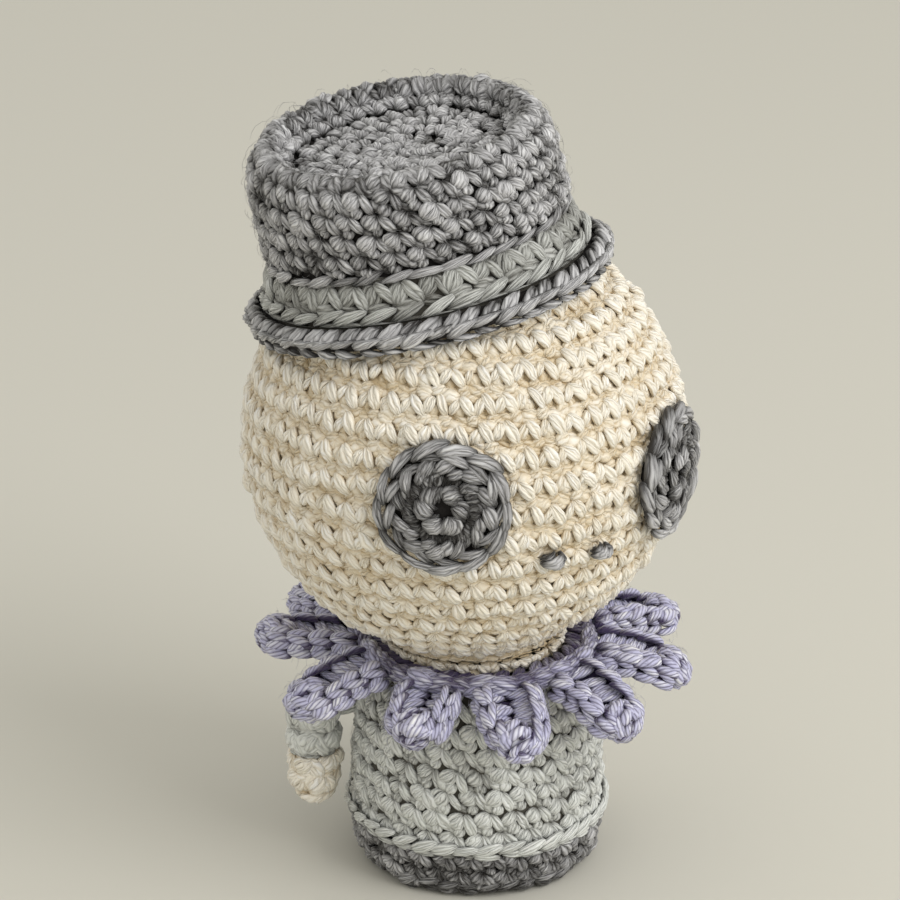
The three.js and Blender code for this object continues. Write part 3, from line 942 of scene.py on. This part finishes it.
class DOLL_OT_body(bpy.types.Operator):
    """Crochet the body: light grey rounds over a chain ridge"""

    bl_idname = "doll.body"
    bl_label = "Body"

    def execute(self, context):
        settings = context.scene.doll_body
        yarn, ground = yarn_of("light_grey_yarn")
        depth = settings.depth / MM
        outline = [(BELLY_RADIUS - depth - 0.2, BAND_TOP - 0.3), (BELLY_RADIUS - depth, BELLY_HEIGHT)]
        shoulder = (CHEST_RADIUS - depth - NECK_RADIUS, BODY_TOP - CHEST_HEIGHT - 0.6)
        outline += arc(NECK_RADIUS, CHEST_HEIGHT, *shoulder, 0, 88, 40)
        side = TurnedSurface(outline)
        form = turned_form("body_form", side, ground, out=0.4)
        dress(form, "torso", "light_grey_yarn", ("body_cover", "body_stuffing"))
        height = side.length / settings.rounds
        starts = height * np.arange(settings.rounds)
        counts = ball_counts(side, starts, height, settings.stitches)
        work = yarnwork(41, settings.depth)
        lay_rings(work, side, starts, height, counts, BUMP_STITCH)
        stitches = work.mesh_object("body_stitches", yarn)
        dress(stitches, "torso", "light_grey_yarn")
        ridge = TurnedSurface([(BAND_RADIUS - 1.1, BAND_TOP - 0.6), (BAND_RADIUS - 1.2, BAND_TOP + 2.6)])
        work = yarnwork(42, 1.2 * MM)
        lay_rings(work, ridge, [0.2], 3.0, [settings.ridge_stitches], RIDGE_LOOP)
        stray_fibres(work, side, math.pi, 0.0, side.length * 0.6, 40, turn=1 / BELLY_RADIUS)
        chain = work.mesh_object("body_ridge_chain", yarn)
        dress(chain, "torso", "light_grey_yarn")
        return {"FINISHED"}


BASE_TUCK = 1.8  # how far the base draws in at the floor
BASE_CHAIN = 2.0  # and the height of the chain there


class DOLL_OT_base(bpy.types.Operator):
    """Crochet the base: dark rounds, a chain at the floor and a flat bottom"""

    bl_idname = "doll.base"
    bl_label = "Base"

    def execute(self, context):
        settings = context.scene.doll_body
        yarn, ground = yarn_of("dark_grey_yarn")
        depth = settings.depth / MM
        low = (BAND_RADIUS - BASE_TUCK - depth, 1.0)
        high = (BAND_RADIUS - depth, BAND_TOP + 0.2)
        side = TurnedSurface([(low[0] - 0.9, 0.7), low, high])
        form = turned_form("base_form", side, ground)
        dress(form, "torso", "dark_grey_yarn", ("base_band", "base_disc"))
        rounds = settings.base_rounds
        height = (side.length - BASE_CHAIN - 0.2) / rounds
        starts = BASE_CHAIN + height * np.arange(rounds)
        work = yarnwork(51, 2.6 * MM)
        lay_rings(work, side, starts, height, [settings.stitches + 2] * rounds, BUMP_STITCH)
        lay_rings(work, side, [1.3], 2.6, [settings.ridge_stitches], RIDGE_LOOP)
        stitches = work.mesh_object("base_stitches", yarn)
        dress(stitches, "torso", "dark_grey_yarn")
        return {"FINISHED"}


NECK_STITCHES = 26
NECK_ROUND = 2.6  # from one round to the next, which is tucked into the head


class DOLL_OT_neck(bpy.types.Operator):
    """Crochet the neck: cream rounds in two pieces, over the neck's lower and upper rounds"""

    bl_idname = "doll.neck"
    bl_label = "Neck"

    def execute(self, context):
        yarn, ground = yarn_of("cream_yarn")
        for seed, node, body, above, slack, rounds in (
            (61, "neck_lower_round", "neck_lower", "neck_upper", 0.0, 1),
            (62, "neck_upper_round", "neck_upper", "head", 0.5, 2),
        ):
            middle = middle_of(node)
            tall = size_of(node)[2]
            bottom, top = middle[2] - tall / 2 - 0.3 + slack, middle[2] + tall / 2 + 0.3
            radius = NECK_RADIUS - 1.5 - slack
            tucked = top + NECK_ROUND * (rounds - 1)
            wall = TurnedSurface([(radius, bottom), (radius, tucked)], (middle[0], middle[1], 0))
            form = turned_form(f"{body}_form", wall, ground)
            work = yarnwork(seed, 2.3 * MM)
            starts = -0.3 + NECK_ROUND * np.arange(rounds)
            lay_rings(work, wall, starts, 3.0, [NECK_STITCHES] * rounds, HEAD_STITCH)
            stitches = work.mesh_object(f"{body}_stitches", yarn)
            for piece in (form, stitches):
                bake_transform(piece)
            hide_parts(node)
        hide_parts("neck_stuffing")
        return {"FINISHED"}


# The slanted strands of the collar's round
COLLAR_WRAP = (
    Leg((-0.50, 0.84, 0.1), (1.15, 0.56, 0.2), 0.95, 0.95, arch=0.40, strands=3),
    Leg((-0.45, 0.58, 0.2), (1.20, 0.26, 0.1), 1.00, 0.95, arch=0.45, strands=3),
    Leg((-0.50, 0.26, 0.1), (1.10, 0.02, 0.0), 0.95, 0.90, arch=0.40, strands=2),
)
# The loops of its first round, which lie against the neck
COLLAR_INNER = (
    Leg((-0.20, 0.05, 0.0), (1.10, 0.95, -0.5), 1.10, 0.80, arch=0.25, strands=2),
)
# A petal's slanted posts, from its edge to its middle
PETAL_POST = Leg((-0.08, -0.3, 0.0), (1.05, 1.0, 0.0), 0.98, 0.85, arch=0.35, strands=2)
POST_PITCH = 2.0
POST_REACH = 0.9  # the share of a petal's half width that a post spans
POST_RISE = 1.9  # its outer end over its inner one, inside the petal
POST_SINK = -0.9  # and underneath
# A chain loop along an edge, whose legs meet towards the petal's tip
EDGE_LOOP = (
    Leg((0.50, -0.20, -0.25), (0.08, 1.14, 0.55), 0.90, 0.84, arch=0.50, bow=-0.16),
    Leg((-0.50, -0.20, -0.30), (-0.08, 1.14, 0.50), 0.90, 0.84, arch=0.50, bow=0.16),
)
# The coils round a petal's knob, as a latitude on it in radians and their number, and the
# last strands over its end
KNOB_COIL = Leg((-0.66, -0.38, 0.0), (0.68, 0.40, 0.1), 0.30, 0.95, arch=0.50)
KNOB_COILS = ((-0.9, 7), (-0.3, 9), (0.25, 9), (0.75, 7), (1.2, 5))
KNOB_TIES = (
    Leg((-1.7, 0.10, -0.3), (0.1, 0.75, 0.0), 0.95, 0.85, arch=0.60),
    Leg((-0.6, 0.10, 0.0), (1.3, 0.70, -0.1), 0.95, 0.85, arch=0.70),
    Leg((1.4, 0.35, -0.3), (-0.5, 1.00, -0.1), 0.90, 0.80, arch=0.60),
)
# How far inside the knob's size its coils run: across, up and along the petal
KNOB_DEPTHS = (1.0, 0.8, 0.6)
KNOB_BACK = 2.6  # its centre, back from the petal's end
KNOB_RISE = 0.5  # and up
TIP_SHARE = 3  # points of a petal's curve that its knob takes up
TIP_WIDTH = 0.55  # a petal's end, as a share of its root
EDGE_GIRTH = 0.8  # half the thickness of a petal's edge
# The upper and lower chain of an edge: across, lift, how steeply it faces up, and size
EDGE_CHAINS = ((0.86, 1.5, 1.9, 1.0), (1.02, -0.2, 0.2, 0.95))
EDGE_WIDTH = 2.3
# A petal's ground across its inner side and its underside, as shares and lifts
TROUGH_INSIDE = ((-0.9, 0.6), (-0.6, -0.7), (0, -1.2), (0.6, -0.7), (0.9, 0.6))
TROUGH_UNDER = ((0.98, 0.1), (0.6, -1.3), (0, -1.8), (-0.6, -1.3), (-0.98, 0.1))


def bezier(start, bend, end, steps=25):
    """Points along a curve that leaves start and reaches end as if drawn towards bend."""
    t = np.linspace(0, 1, steps)[:, None]
    return (1 - t) ** 2 * start + 2 * t * (1 - t) * bend + t**2 * end


class Petal:
    """A petal's curves, from its CAD node."""

    def __init__(self, node):
        points = points_of(node)
        reach = np.hypot(points[:, 0], points[:, 1])
        root = points[reach < reach.min() + 0.6].mean(0)
        tip = points[reach > reach.max() - 0.6].mean(0)
        outward = np.array([tip[0], tip[1], 0])
        self.outward = outward / np.linalg.norm(outward)
        self.right = np.cross(self.outward, (0, 0, 1))
        root_reach, tip_reach = root @ self.outward, tip @ self.outward
        root = self.outward * root_reach + (0, 0, root[2])
        tip = self.outward * tip_reach + (0, 0, tip[2])
        bend = root + self.outward * (tip_reach - root_reach) * 0.6 + (0, 0, (tip[2] - root[2]) * 0.2)
        self.spine = bezier(root, bend, tip)
        forward = np.gradient(self.spine, axis=0)
        self.forward = forward / np.linalg.norm(forward, axis=1, keepdims=True)
        self.up = np.cross(self.right, self.forward)
        sideways = points @ self.right
        self.root_width = (sideways.max() - sideways.min()) / 2 - EDGE_GIRTH
        self.tip_width = self.root_width * TIP_WIDTH
        share = np.linspace(0, 1, len(self.spine))
        self.width = self.tip_width + (self.root_width - self.tip_width) * np.cos(np.pi / 2 * share**2)

    def line(self, across, lift):
        """A curve along the petal at a share of its half width and a lift in millimetres."""
        return self.spine + self.right * (across * self.width)[:, None] + self.up * lift


class DOLL_OT_collar(bpy.types.Operator):
    """Crochet the collar: slanted stitches round the neck and ten petals"""

    bl_idname = "doll.collar"
    bl_label = "Collar"

    def execute(self, context):
        settings = context.scene.doll_collar
        yarn, ground = yarn_of("lavender_yarn")
        size = size_of("collar_ring")
        middle = middle_of("collar_ring")
        tube = size[2] / 2
        radius = size[0] / 2 - tube
        # The ring's section, from its inside over the top and under its outside
        outline = arc(radius, middle[2], tube * 0.62, tube * 0.62, 200, -70, 40)
        ring = TurnedSurface(outline[::-1])
        core = TurnedSurface(arc(radius, middle[2], 0.9, 0.9, -89, 269, 24))
        form = turned_form("collar_ring_form", core, ground, capped=False)
        dress(form, "torso", "lavender_yarn", ("collar_ring",))
        work = yarnwork(71, 1.4 * MM)
        count = settings.ring_stitches
        cell = TAU * radius / count
        bearings = np.arange(count) * TAU / count
        # The first round's loops lie nearly level, from the ring in to the neck
        inside = TurnedSurface([(NECK_RADIUS + 3.4, middle[2] + 0.7), (NECK_RADIUS - 1.0, middle[2] + 0.9)])
        for stitch, surface in ((COLLAR_WRAP, ring), (COLLAR_INNER, inside)):
            work.lay(stitch, surface, bearings, np.zeros(count), cell, surface.length, turn=1 / radius)
        wraps = work.mesh_object("collar_ring_stitches", yarn)
        dress(wraps, "torso", "lavender_yarn")
        for number in range(1, 11):
            self.petal(number, settings, yarn, ground)
        return {"FINISHED"}

    def petal(self, number, settings, yarn, ground):
        """Crochets one petal: two chains along each edge, posts, the knob and the ground."""
        petal = Petal(f"collar_petal_{number}")
        work = yarnwork(80 + number, 1.2 * MM)
        loop = settings.loop_length / MM
        for side in (-1, 1):
            for across, lift, tilt, size in EDGE_CHAINS:
                curve = petal.line(side * across, lift)
                outward = petal.right * side + petal.up * tilt
                edge = EdgeSurface(curve[:-TIP_SHARE], outward[:-TIP_SHARE])
                count = max(2, int(round(edge.length / loop)))
                step = edge.length / count
                starts = step * np.arange(count)
                work.lay(EDGE_LOOP, edge, np.zeros(count), starts, EDGE_WIDTH * size, step)
                stray_fibres(work, edge, 1.0, 0.0, edge.length, 3)
            for face, lift in ((1, -0.3), (-1, -1.3)):
                self.posts(work, petal, side, face, lift)
        self.knob(work, petal, settings)
        stitches = work.mesh_object(f"collar_petal_{number}_stitches", yarn)
        dress(stitches, "torso", "lavender_yarn", (f"collar_petal_{number}",))
        form = self.trough(f"collar_petal_{number}_form", petal, ground)
        dress(form, "torso", "lavender_yarn")

    def posts(self, work, petal, side, face, lift):
        """Slanted strands from the petal's edge down to its middle, inside and underneath."""
        curve = petal.line(side * 0.05, lift - 0.5)
        outward = petal.up * face
        floor = EdgeSurface(curve[: -2 * TIP_SHARE], outward[: -2 * TIP_SHARE])
        count = max(2, int(round(floor.length / POST_PITCH)))
        step = floor.length / count
        starts = step * np.arange(count) + 0.2
        reach = float(petal.width.mean()) * POST_REACH
        sign = side if face > 0 else -side
        rise = POST_RISE if face > 0 else POST_SINK
        start = (PETAL_POST.start[0] * sign * reach, PETAL_POST.start[1], 0)
        end = (PETAL_POST.end[0] * sign * reach, PETAL_POST.end[1], rise)
        work.lay((PETAL_POST._replace(start=start, end=end),), floor, np.zeros(count), starts, 1, step)

    def knob(self, work, petal, settings):
        """The knot at the tip: strands wound over a ball as broad as the petal's end."""
        wide = settings.knob_width / MM / 2
        tall = settings.knob_height / MM / 2
        centre = petal.spine[-1] - petal.forward[-1] * KNOB_BACK + petal.up[-1] * KNOB_RISE
        axes = np.stack([petal.right, petal.up[-1], petal.forward[-1]])
        radii = np.array([wide, tall, tall]) - KNOB_DEPTHS

        def ball(across, along, out):
            ring = np.cos(along)
            spot = np.stack([ring * np.sin(across), ring * np.cos(across), np.sin(along)], -1)
            return centre + (spot * (radii + out[..., None])) @ axes

        for latitude, count in KNOB_COILS:
            starts = np.arange(count) * TAU / count + latitude
            work.lay((KNOB_COIL,), ball, starts, np.full(count, latitude), 1.15 * TAU / count, 1.3)
        reach = petal.right * (wide - 0.9)
        heart = EdgeSurface([centre - reach, centre + reach], petal.up[-1])
        work.lay((Leg((0, 0, 0), (0, 1, 0), tall - 0.7, tall - 0.8),), heart, [0], [0], 1, heart.length)
        nose = centre + petal.forward[-1] * (tall - 0.5)
        cap = EdgeSurface([nose - petal.right * 2.6, nose + petal.right * 2.6], petal.forward[-1])
        work.lay(KNOB_TIES, cap, [0], [0], 1, cap.length)

    def trough(self, name, petal, ground):
        """The petal's inner side: a thin closed trough, coloured with painted shade."""
        section = TROUGH_INSIDE + TROUGH_UNDER
        rings = np.stack([petal.line(across, lift)[: -2 * TIP_SHARE] for across, lift in section], 1)
        last, around = rings.shape[:2]
        faces = []
        for ring in range(0, (last - 1) * around, around):
            for j in range(around):
                beside = (j + 1) % around
                faces.append((ring + j, ring + beside, ring + around + beside, ring + around + j))
        faces.append(tuple(range(around))[::-1])
        faces.append(tuple((last - 1) * around + j for j in range(around)))
        mesh = bpy.data.meshes.new(name)
        mesh.from_pydata((rings.reshape(-1, 3) * MM).tolist(), [], faces)
        form = place_object(name, mesh, ground)
        edit_faces(form)
        close_faces()
        form.data.shade_smooth()
        return form


# The hands' and sleeves' big round stitch
FAT_BUMP = (
    Leg((0.02, 0.24, 0.20), (0.66, 0.96, 0.20), 1.90, 1.15, arch=0.85, strands=4),
    Leg((0.60, 1.05, 0.05), (1.04, -0.05, 0.05), 1.20, 0.90, arch=0.55, strands=2),
    Leg((-0.05, 0.10, -0.05), (0.80, 0.02, -0.05), 1.10, 0.80, arch=0.35, strands=2),
    Leg((-0.10, 0.90, -0.15), (0.80, 1.02, -0.15), 1.10, 0.80, arch=0.25, strands=2),
)


# The turns that sew an arm on: the height of each on the shoulder, and its lean
SEWING = ((-1.7, 0.3), (-0.7, -0.2), (0.3, 0.3), (1.3, -0.3))
SEWING_REACH = 1.6  # from a turn's middle to the body, and to the sleeve


class DOLL_OT_arms(bpy.types.Operator):
    """Crochet the arms: grey sleeves, cream hands and the yarn that sews them on"""

    bl_idname = "doll.arms"
    bl_label = "Arms"

    def execute(self, context):
        settings = context.scene.doll_arms
        depth = settings.depth / MM
        for seed, side in ((91, "right"), (94, "left")):
            sleeve_low, sleeve_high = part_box(f"{side}_sleeve")
            hand_low, hand_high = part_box(f"{side}_hand")
            middle = middle_of(f"{side}_sleeve")
            origin = (middle[0], middle[1], 0)
            radius = size_of(f"{side}_sleeve")[0] / 2 - depth
            top, cuff = sleeve_high.z / MM, sleeve_low.z / MM
            bottom, wrist = hand_low.z / MM, hand_high.z / MM
            palm = size_of(f"{side}_hand")[0] / 2 - depth
            sleeve = [(radius, cuff - 0.2)] + arc(0, top - depth - radius, radius, radius, 0, 89, 24)
            hand = arc(0, bottom + depth + palm, palm, palm, -89, 0, 24) + [(palm, wrist + 0.2)]
            for shift, part, outline, slot, replaced in (
                (0, "sleeve", sleeve, "light_grey_yarn", (f"{side}_sleeve", f"{side}_arm_stuffing")),
                (1, "hand", hand, "cream_yarn", (f"{side}_hand",)),
            ):
                yarn, ground = yarn_of(slot)
                surface = TurnedSurface(outline, origin)
                form = turned_form(f"{side}_{part}_form", surface, ground, steps=24)
                dress(form, f"{side}_arm", slot, replaced)
                rounds = max(1, int(round(surface.length / (settings.round_height / MM))))
                height = surface.length / rounds
                starts = height * np.arange(rounds)
                counts = [max(4, c) for c in ball_counts(surface, starts, height, settings.stitches)]
                work = yarnwork(seed + shift, settings.depth)
                lay_rings(work, surface, starts, height, counts, FAT_BUMP)
                stitches = work.mesh_object(f"{side}_{part}_stitches", yarn)
                dress(stitches, f"{side}_arm", slot)
            self.sew(side, seed + 2)
        return {"FINISHED"}

    def sew(self, side, seed):
        """A few turns of light grey yarn between the body and the sleeve."""
        yarn, _ground = yarn_of("light_grey_yarn")
        node = f"{side}_shoulder_stitches"
        centre = middle_of(node)
        outward = np.array([centre[0], centre[1], 0])
        outward /= np.linalg.norm(outward)
        sideways = np.cross(outward, (0, 0, 1))
        work = yarnwork(seed, 0.8 * MM)
        for lift, lean in SEWING:
            line = [centre + outward * reach + (0, 0, lift) for reach in (-SEWING_REACH, SEWING_REACH)]
            turn = Leg((lean, 0.0, 0.6), (-lean, 1.0, 0.6), 0.55, 0.55)
            for face in (1, -1):
                seam = EdgeSurface(line, sideways * face)
                work.lay((turn,), seam, [0], [0], 1, seam.length)
        stitches = work.mesh_object(f"{side}_shoulder_yarn", yarn)
        dress(stitches, f"{side}_shoulder", "light_grey_yarn", (node,))


def direction(bearing, rise):
    """A unit vector, from its bearing off the face to the doll's left and its rise."""
    out = math.cos(rise)
    return Vector((out * math.sin(bearing), -out * math.cos(bearing), math.sin(rise)))


class HatFrame:
    """The hat's axis, and radii and levels along it from its CAD nodes."""

    def __init__(self, settings):
        self.axis = direction(settings.lean_bearing, math.pi / 2 - settings.lean)
        self.origin = HEAD_CENTRE

    def span(self, node):
        """The node's largest radius and its lowest and highest level on the axis."""
        points = points_of(node) - self.origin
        axis = np.array(self.axis)
        level = points @ axis
        return off_axis(points, axis).max(), level.min(), level.max()


RIM_ROUND = 2.6  # each of the two rounds that roll over the rim
RIM_ROLL = (2.6, 1.6)  # how far the rim rolls in and down on its inside
WELL_FEWER = 4  # stitches that the well's wall has less than the crown's side
CHAIN_HEIGHT = 3.2  # the chain ridges on the crown's foot and the band's
BAND_ROUND = (1.7, 4.8)  # the band's bumps: their foot above the band's, and their height
BRIM_CHAIN = 1.4  # from the brim's edge in to the middle of the chain round it
LINING_DEPTH = 3.4  # the crown's inside, below the sunk top
LINING_WALL = 2.2  # and inside the ground of its side
HAT_FIBRES = 130  # loose fibres for each heading


class DOLL_OT_hat(bpy.types.Operator):
    """Crochet the hat: a crown with a sunk top, a light band and a brim"""

    bl_idname = "doll.hat"
    bl_label = "Hat"

    def execute(self, context):
        settings = context.scene.doll_hat
        hat = HatFrame(settings)
        self.crown(settings, hat)
        self.band(settings, hat)
        self.brim(settings, hat)
        return {"FINISHED"}

    def crown(self, settings, hat):
        """Crochets the side in rounds, two that roll over the rim, the well and its floor."""
        yarn, ground = yarn_of("dark_grey_yarn")
        radius, level, _top = hat.span("hat_crown")
        depth = settings.depth / MM
        rim = level + settings.rim_height / MM
        ridge = settings.rim_radius / MM
        fall = settings.shoulder / MM
        well = settings.well_radius / MM
        floor = rim - settings.well_depth / MM
        side = radius - depth
        outline = [(side, level - 0.1), (side, rim - fall)]
        outline += arc(ridge, rim - fall, side - ridge, fall - depth, 0, 90, 30)
        roll_in, roll_down = RIM_ROLL
        outline += arc(ridge, rim - roll_down - depth, roll_in - depth, roll_down, 100, 180, 8)
        outline += [(well + depth * 0.6, floor - depth * 0.4), (0.05, floor - depth)]
        slump = (level, settings.slump, radius)
        surface = TurnedSurface(outline, hat.origin, hat.axis, slump)
        lining = [(0.0, floor - LINING_DEPTH), (well - 1.0, floor - LINING_DEPTH)]
        lining += [(side - LINING_WALL, rim - fall), (side - LINING_WALL, level - 0.1)]
        shell = TurnedSurface(outline + lining, hat.origin, hat.axis, slump)
        form = turned_form("hat_crown_form", shell, ground, capped=False)
        dress(form, "hat", "dark_grey_yarn", ("hat_crown",))
        # The outline is highest where it starts to face inwards, past its lower end
        upper = surface.reach > 5
        ridge_at = float(np.interp(0, -surface.out_r[upper], surface.reach[upper]))
        count = settings.stitches
        work = yarnwork(101, settings.depth)
        low, high = 1.6, ridge_at - RIM_ROUND
        rounds = int(round((high - low) / (settings.round_height / MM)))
        height = (high - low) / rounds
        starts = low + height * np.arange(rounds)
        lay_rings(work, surface, starts, height, [count] * rounds, BUMP_STITCH)
        lay_rings(work, surface, [high, ridge_at - 0.1], RIM_ROUND + 0.3, [count] * 2, RIM_STITCH)
        wall_length = surface.length - well - depth * 0.6
        low = ridge_at + RIM_ROUND - 0.4
        lay_rings(work, surface, [low], wall_length - low, [count - WELL_FEWER], BUMP_STITCH)
        step = (well - 1.0) / settings.well_rounds
        starts = wall_length + 1.2 + step * np.arange(settings.well_rounds)
        counts = ball_counts(surface, starts, step, count)
        lay_rings(work, surface, starts, step, counts, BUMP_STITCH)
        lay_rings(work, surface, [-1.1], CHAIN_HEIGHT, [settings.chain_stitches - 4], RIDGE_LOOP)
        stitches = work.mesh_object("hat_crown_stitches", yarn)
        dress(stitches, "hat", "dark_grey_yarn")
        work = yarnwork(104, settings.depth, loose=3.0)
        stray_fibres(work, surface, math.pi, 2.0, wall_length, HAT_FIBRES, turn=1 / radius)
        fibres = work.mesh_object("hat_crown_fibres", yarn)
        dress(fibres, "hat", "dark_grey_yarn")

    def band(self, settings, hat):
        """Crochets the light band: a round of bumps between two chain ridges."""
        yarn, ground = yarn_of("light_grey_yarn")
        radius, level, top = hat.span("hat_band")
        crown_radius = hat.span("hat_crown")[0]
        depth = settings.depth / MM
        low, high = (radius - depth, level - 0.2), (crown_radius - depth, top + 1.0)
        surface = TurnedSurface([low, high], hat.origin, hat.axis)
        foot = level - 1.0
        loop = [(low[0], foot), high, (high[0] - 1.2, high[1]), (low[0] - 1.2, foot), (low[0], foot)]
        shell = TurnedSurface(loop, hat.origin, hat.axis)
        form = turned_form("hat_band_form", shell, ground, capped=False)
        dress(form, "hat", "light_grey_yarn", ("hat_band",))
        work = yarnwork(102, 1.3 * settings.depth)
        start, height = BAND_ROUND
        lay_rings(work, surface, [start], height, [settings.stitches + 2], BAND_STITCH)
        lay_rings(work, surface, [-0.5], CHAIN_HEIGHT, [settings.chain_stitches - 2], RIDGE_LOOP)
        stitches = work.mesh_object("hat_band_stitches", yarn)
        dress(stitches, "hat", "light_grey_yarn")

    def brim(self, settings, hat):
        """Crochets the brim: slanted posts and a chain round its edge."""
        yarn, ground = yarn_of("dark_grey_yarn")
        radius, level, top = hat.span("hat_brim")
        band_radius = hat.span("hat_band")[0]
        bore = off_axis(points_of("hat_brim") - hat.origin, np.array(hat.axis)).min()
        edge = radius - BRIM_CHAIN
        # The section: out from the bore along the underside, round the edge and back
        ring = [(bore + 0.4, top - 0.4), (bore + 0.4, level + 1.4), (edge - 0.6, level + 0.9)]
        ring += arc(edge - 0.3, level + 1.9, 0.9, 0.9, -80, 80, 8)
        ring += [(band_radius - 1.0, top - 0.4), (bore + 0.4, top - 0.4)]
        shell = TurnedSurface(ring, hat.origin, hat.axis)
        form = turned_form("hat_brim_form", shell, ground, capped=False)
        dress(form, "hat", "dark_grey_yarn", ("hat_brim",))
        work = yarnwork(103, 1.8 * MM)
        rise = [(edge + 0.3, level + 1.7), (band_radius - 0.6, top + 0.2)]
        slope = TurnedSurface(rise, hat.origin, hat.axis)
        count = settings.post_stitches
        cell = TAU * band_radius / count
        bearings = np.arange(count) * TAU / count
        work.lay((BRIM_POST,), slope, bearings, np.zeros(count), cell, slope.length, turn=1 / band_radius)
        # The chain stands nearly upright on the brim's edge
        lip = TurnedSurface([(edge - 0.2, level + 0.4), (edge + 0.2, level + 3.4)], hat.origin, hat.axis)
        lay_rings(work, lip, [-0.5], 4.2, [settings.edge_stitches], CHAIN_LOOP)
        stitches = work.mesh_object("hat_brim_stitches", yarn)
        dress(stitches, "hat", "dark_grey_yarn")


FLOOR_RADIUS = 3.0  # metres
FLOOR_PATCH = 0.8  # the middle of it, which the doll stands on
SKY = "#F4F3EE"
# The lamps' places from the head's centre and their widths, in metres
WINDOW = ((0.34, -0.75, 0.65), 0.7)
BOUNCE = ((0.86, -0.43, 0.20), 0.3)


class DOLL_OT_stage(bpy.types.Operator):
    """Set the floor, the window light and the camera"""

    bl_idname = "doll.stage"
    bl_label = "Stage"

    def execute(self, context):
        settings = context.scene.doll_stage
        self.floor(settings)
        self.world(settings)
        self.lamps(settings)
        self.camera(settings)
        return {"FINISHED"}

    def floor(self, settings):
        bpy.ops.object.select_all(action="DESELECT")
        bpy.ops.mesh.primitive_circle_add(vertices=64, radius=FLOOR_RADIUS, fill_type="NGON")
        floor = bpy.context.object
        floor.name = "floor"
        bpy.ops.object.mode_set(mode="EDIT")
        bpy.ops.mesh.select_all(action="SELECT")
        bpy.ops.mesh.inset(thickness=FLOOR_RADIUS - FLOOR_PATCH)
        bpy.ops.object.mode_set(mode="OBJECT")
        material = empty_material("painted plaster")
        node = partial(add_node, material)
        place = node("ShaderNodeTexCoord").outputs["Object"]
        grain = node(NOISE, {"Vector": place, "Scale": 2.0})
        colour = tuple(settings.floor)
        dull = tuple(c * 0.96 for c in colour)
        paint = node(MIX, {"Factor": grain, "A": (*dull, 1), "B": (*colour, 1)}, data_type="RGBA")
        shader = node(SHADER, {"Base Color": paint.outputs["Result"], "Roughness": 0.9})
        node("ShaderNodeOutputMaterial", {"Surface": shader})
        floor.data.materials.append(material)

    def world(self, settings):
        world = bpy.data.worlds.new("studio")
        bpy.context.scene.world = world
        world.use_nodes = True
        world.node_tree.nodes.clear()
        node = partial(add_node, world)
        rays = node("ShaderNodeLightPath").outputs
        seen = rays["Is Camera Ray"]
        for ray in ("Is Glossy Ray", "Is Transmission Ray"):
            seen = node(MATH, (seen, rays[ray]), operation="MAXIMUM")
        light = node("ShaderNodeBackground", {"Color": (*linear(SKY), 1), "Strength": settings.sky})
        wall = node("ShaderNodeBackground", {"Color": (*settings.floor, 1), "Strength": 1.0})
        both = node("ShaderNodeMixShader", (seen, light, wall))
        node("ShaderNodeOutputWorld", {"Surface": both})

    def lamps(self, settings):
        target = Vector(HEAD_CENTRE * MM)
        lamps = (("window", settings.key_power, WINDOW), ("bounce", settings.fill_power, BOUNCE))
        for name, power, (place, width) in lamps:
            bpy.ops.object.select_all(action="DESELECT")
            aim = Vector(place).to_track_quat("Z", "Y").to_euler()
            bpy.ops.object.light_add(type="AREA", location=target + Vector(place), rotation=aim)
            lamp = bpy.context.object
            lamp.name = name
            lamp.data.energy = power
            lamp.data.size = width

    def camera(self, settings):
        back = direction(settings.azimuth, settings.elevation)
        right = Vector((math.cos(settings.azimuth), math.sin(settings.azimuth), 0))
        up = back.cross(right)
        place = Vector(HEAD_CENTRE * MM) + back * settings.distance
        place += -right * settings.head_right - up * settings.head_up
        turn = Matrix((right, up, back)).transposed().to_euler()
        bpy.ops.object.select_all(action="DESELECT")
        bpy.ops.object.camera_add(location=place, rotation=turn)
        camera = bpy.context.object
        camera.data.lens = settings.lens
        camera.data.sensor_width = 36
        camera.data.clip_start = 0.01
        bpy.context.scene.camera = camera
        bpy.context.scene.view_settings.view_transform = "Standard"


STEPS = (
    DOLL_OT_stage,
    DOLL_OT_head,
    DOLL_OT_eyes,
    DOLL_OT_nostrils,
    DOLL_OT_base,
    DOLL_OT_body,
    DOLL_OT_neck,
    DOLL_OT_collar,
    DOLL_OT_arms,
    DOLL_OT_hat,
)
SETTINGS = {
    "doll_yarn": YarnSettings,
    "doll_head": HeadSettings,
    "doll_eyes": EyeSettings,
    "doll_body": BodySettings,
    "doll_collar": CollarSettings,
    "doll_arms": ArmSettings,
    "doll_hat": HatSettings,
    "doll_stage": StageSettings,
}


class DOLL_PT_panel(bpy.types.Panel):
    """Lists the doll's pieces in the sidebar"""

    bl_idname = "DOLL_PT_panel"
    bl_label = "Crocheted doll"
    bl_space_type = "VIEW_3D"
    bl_region_type = "UI"
    bl_category = "Doll"

    def draw(self, context):
        for step in STEPS:
            self.layout.operator(step.bl_idname)


def register():
    for kind in (*SETTINGS.values(), *STEPS, DOLL_PT_panel):
        bpy.utils.register_class(kind)
    for name, kind in SETTINGS.items():
        setattr(bpy.types.Scene, name, bpy.props.PointerProperty(type=kind))


def unregister():
    for name in SETTINGS:
        delattr(bpy.types.Scene, name)
    for kind in (DOLL_PT_panel, *reversed(STEPS), *reversed(SETTINGS.values())):
        bpy.utils.unregister_class(kind)


def main():
    register()
    for step in STEPS:
        getattr(bpy.ops.doll, step.bl_idname.split(".")[1])()


if __name__ == "__main__":
    main()
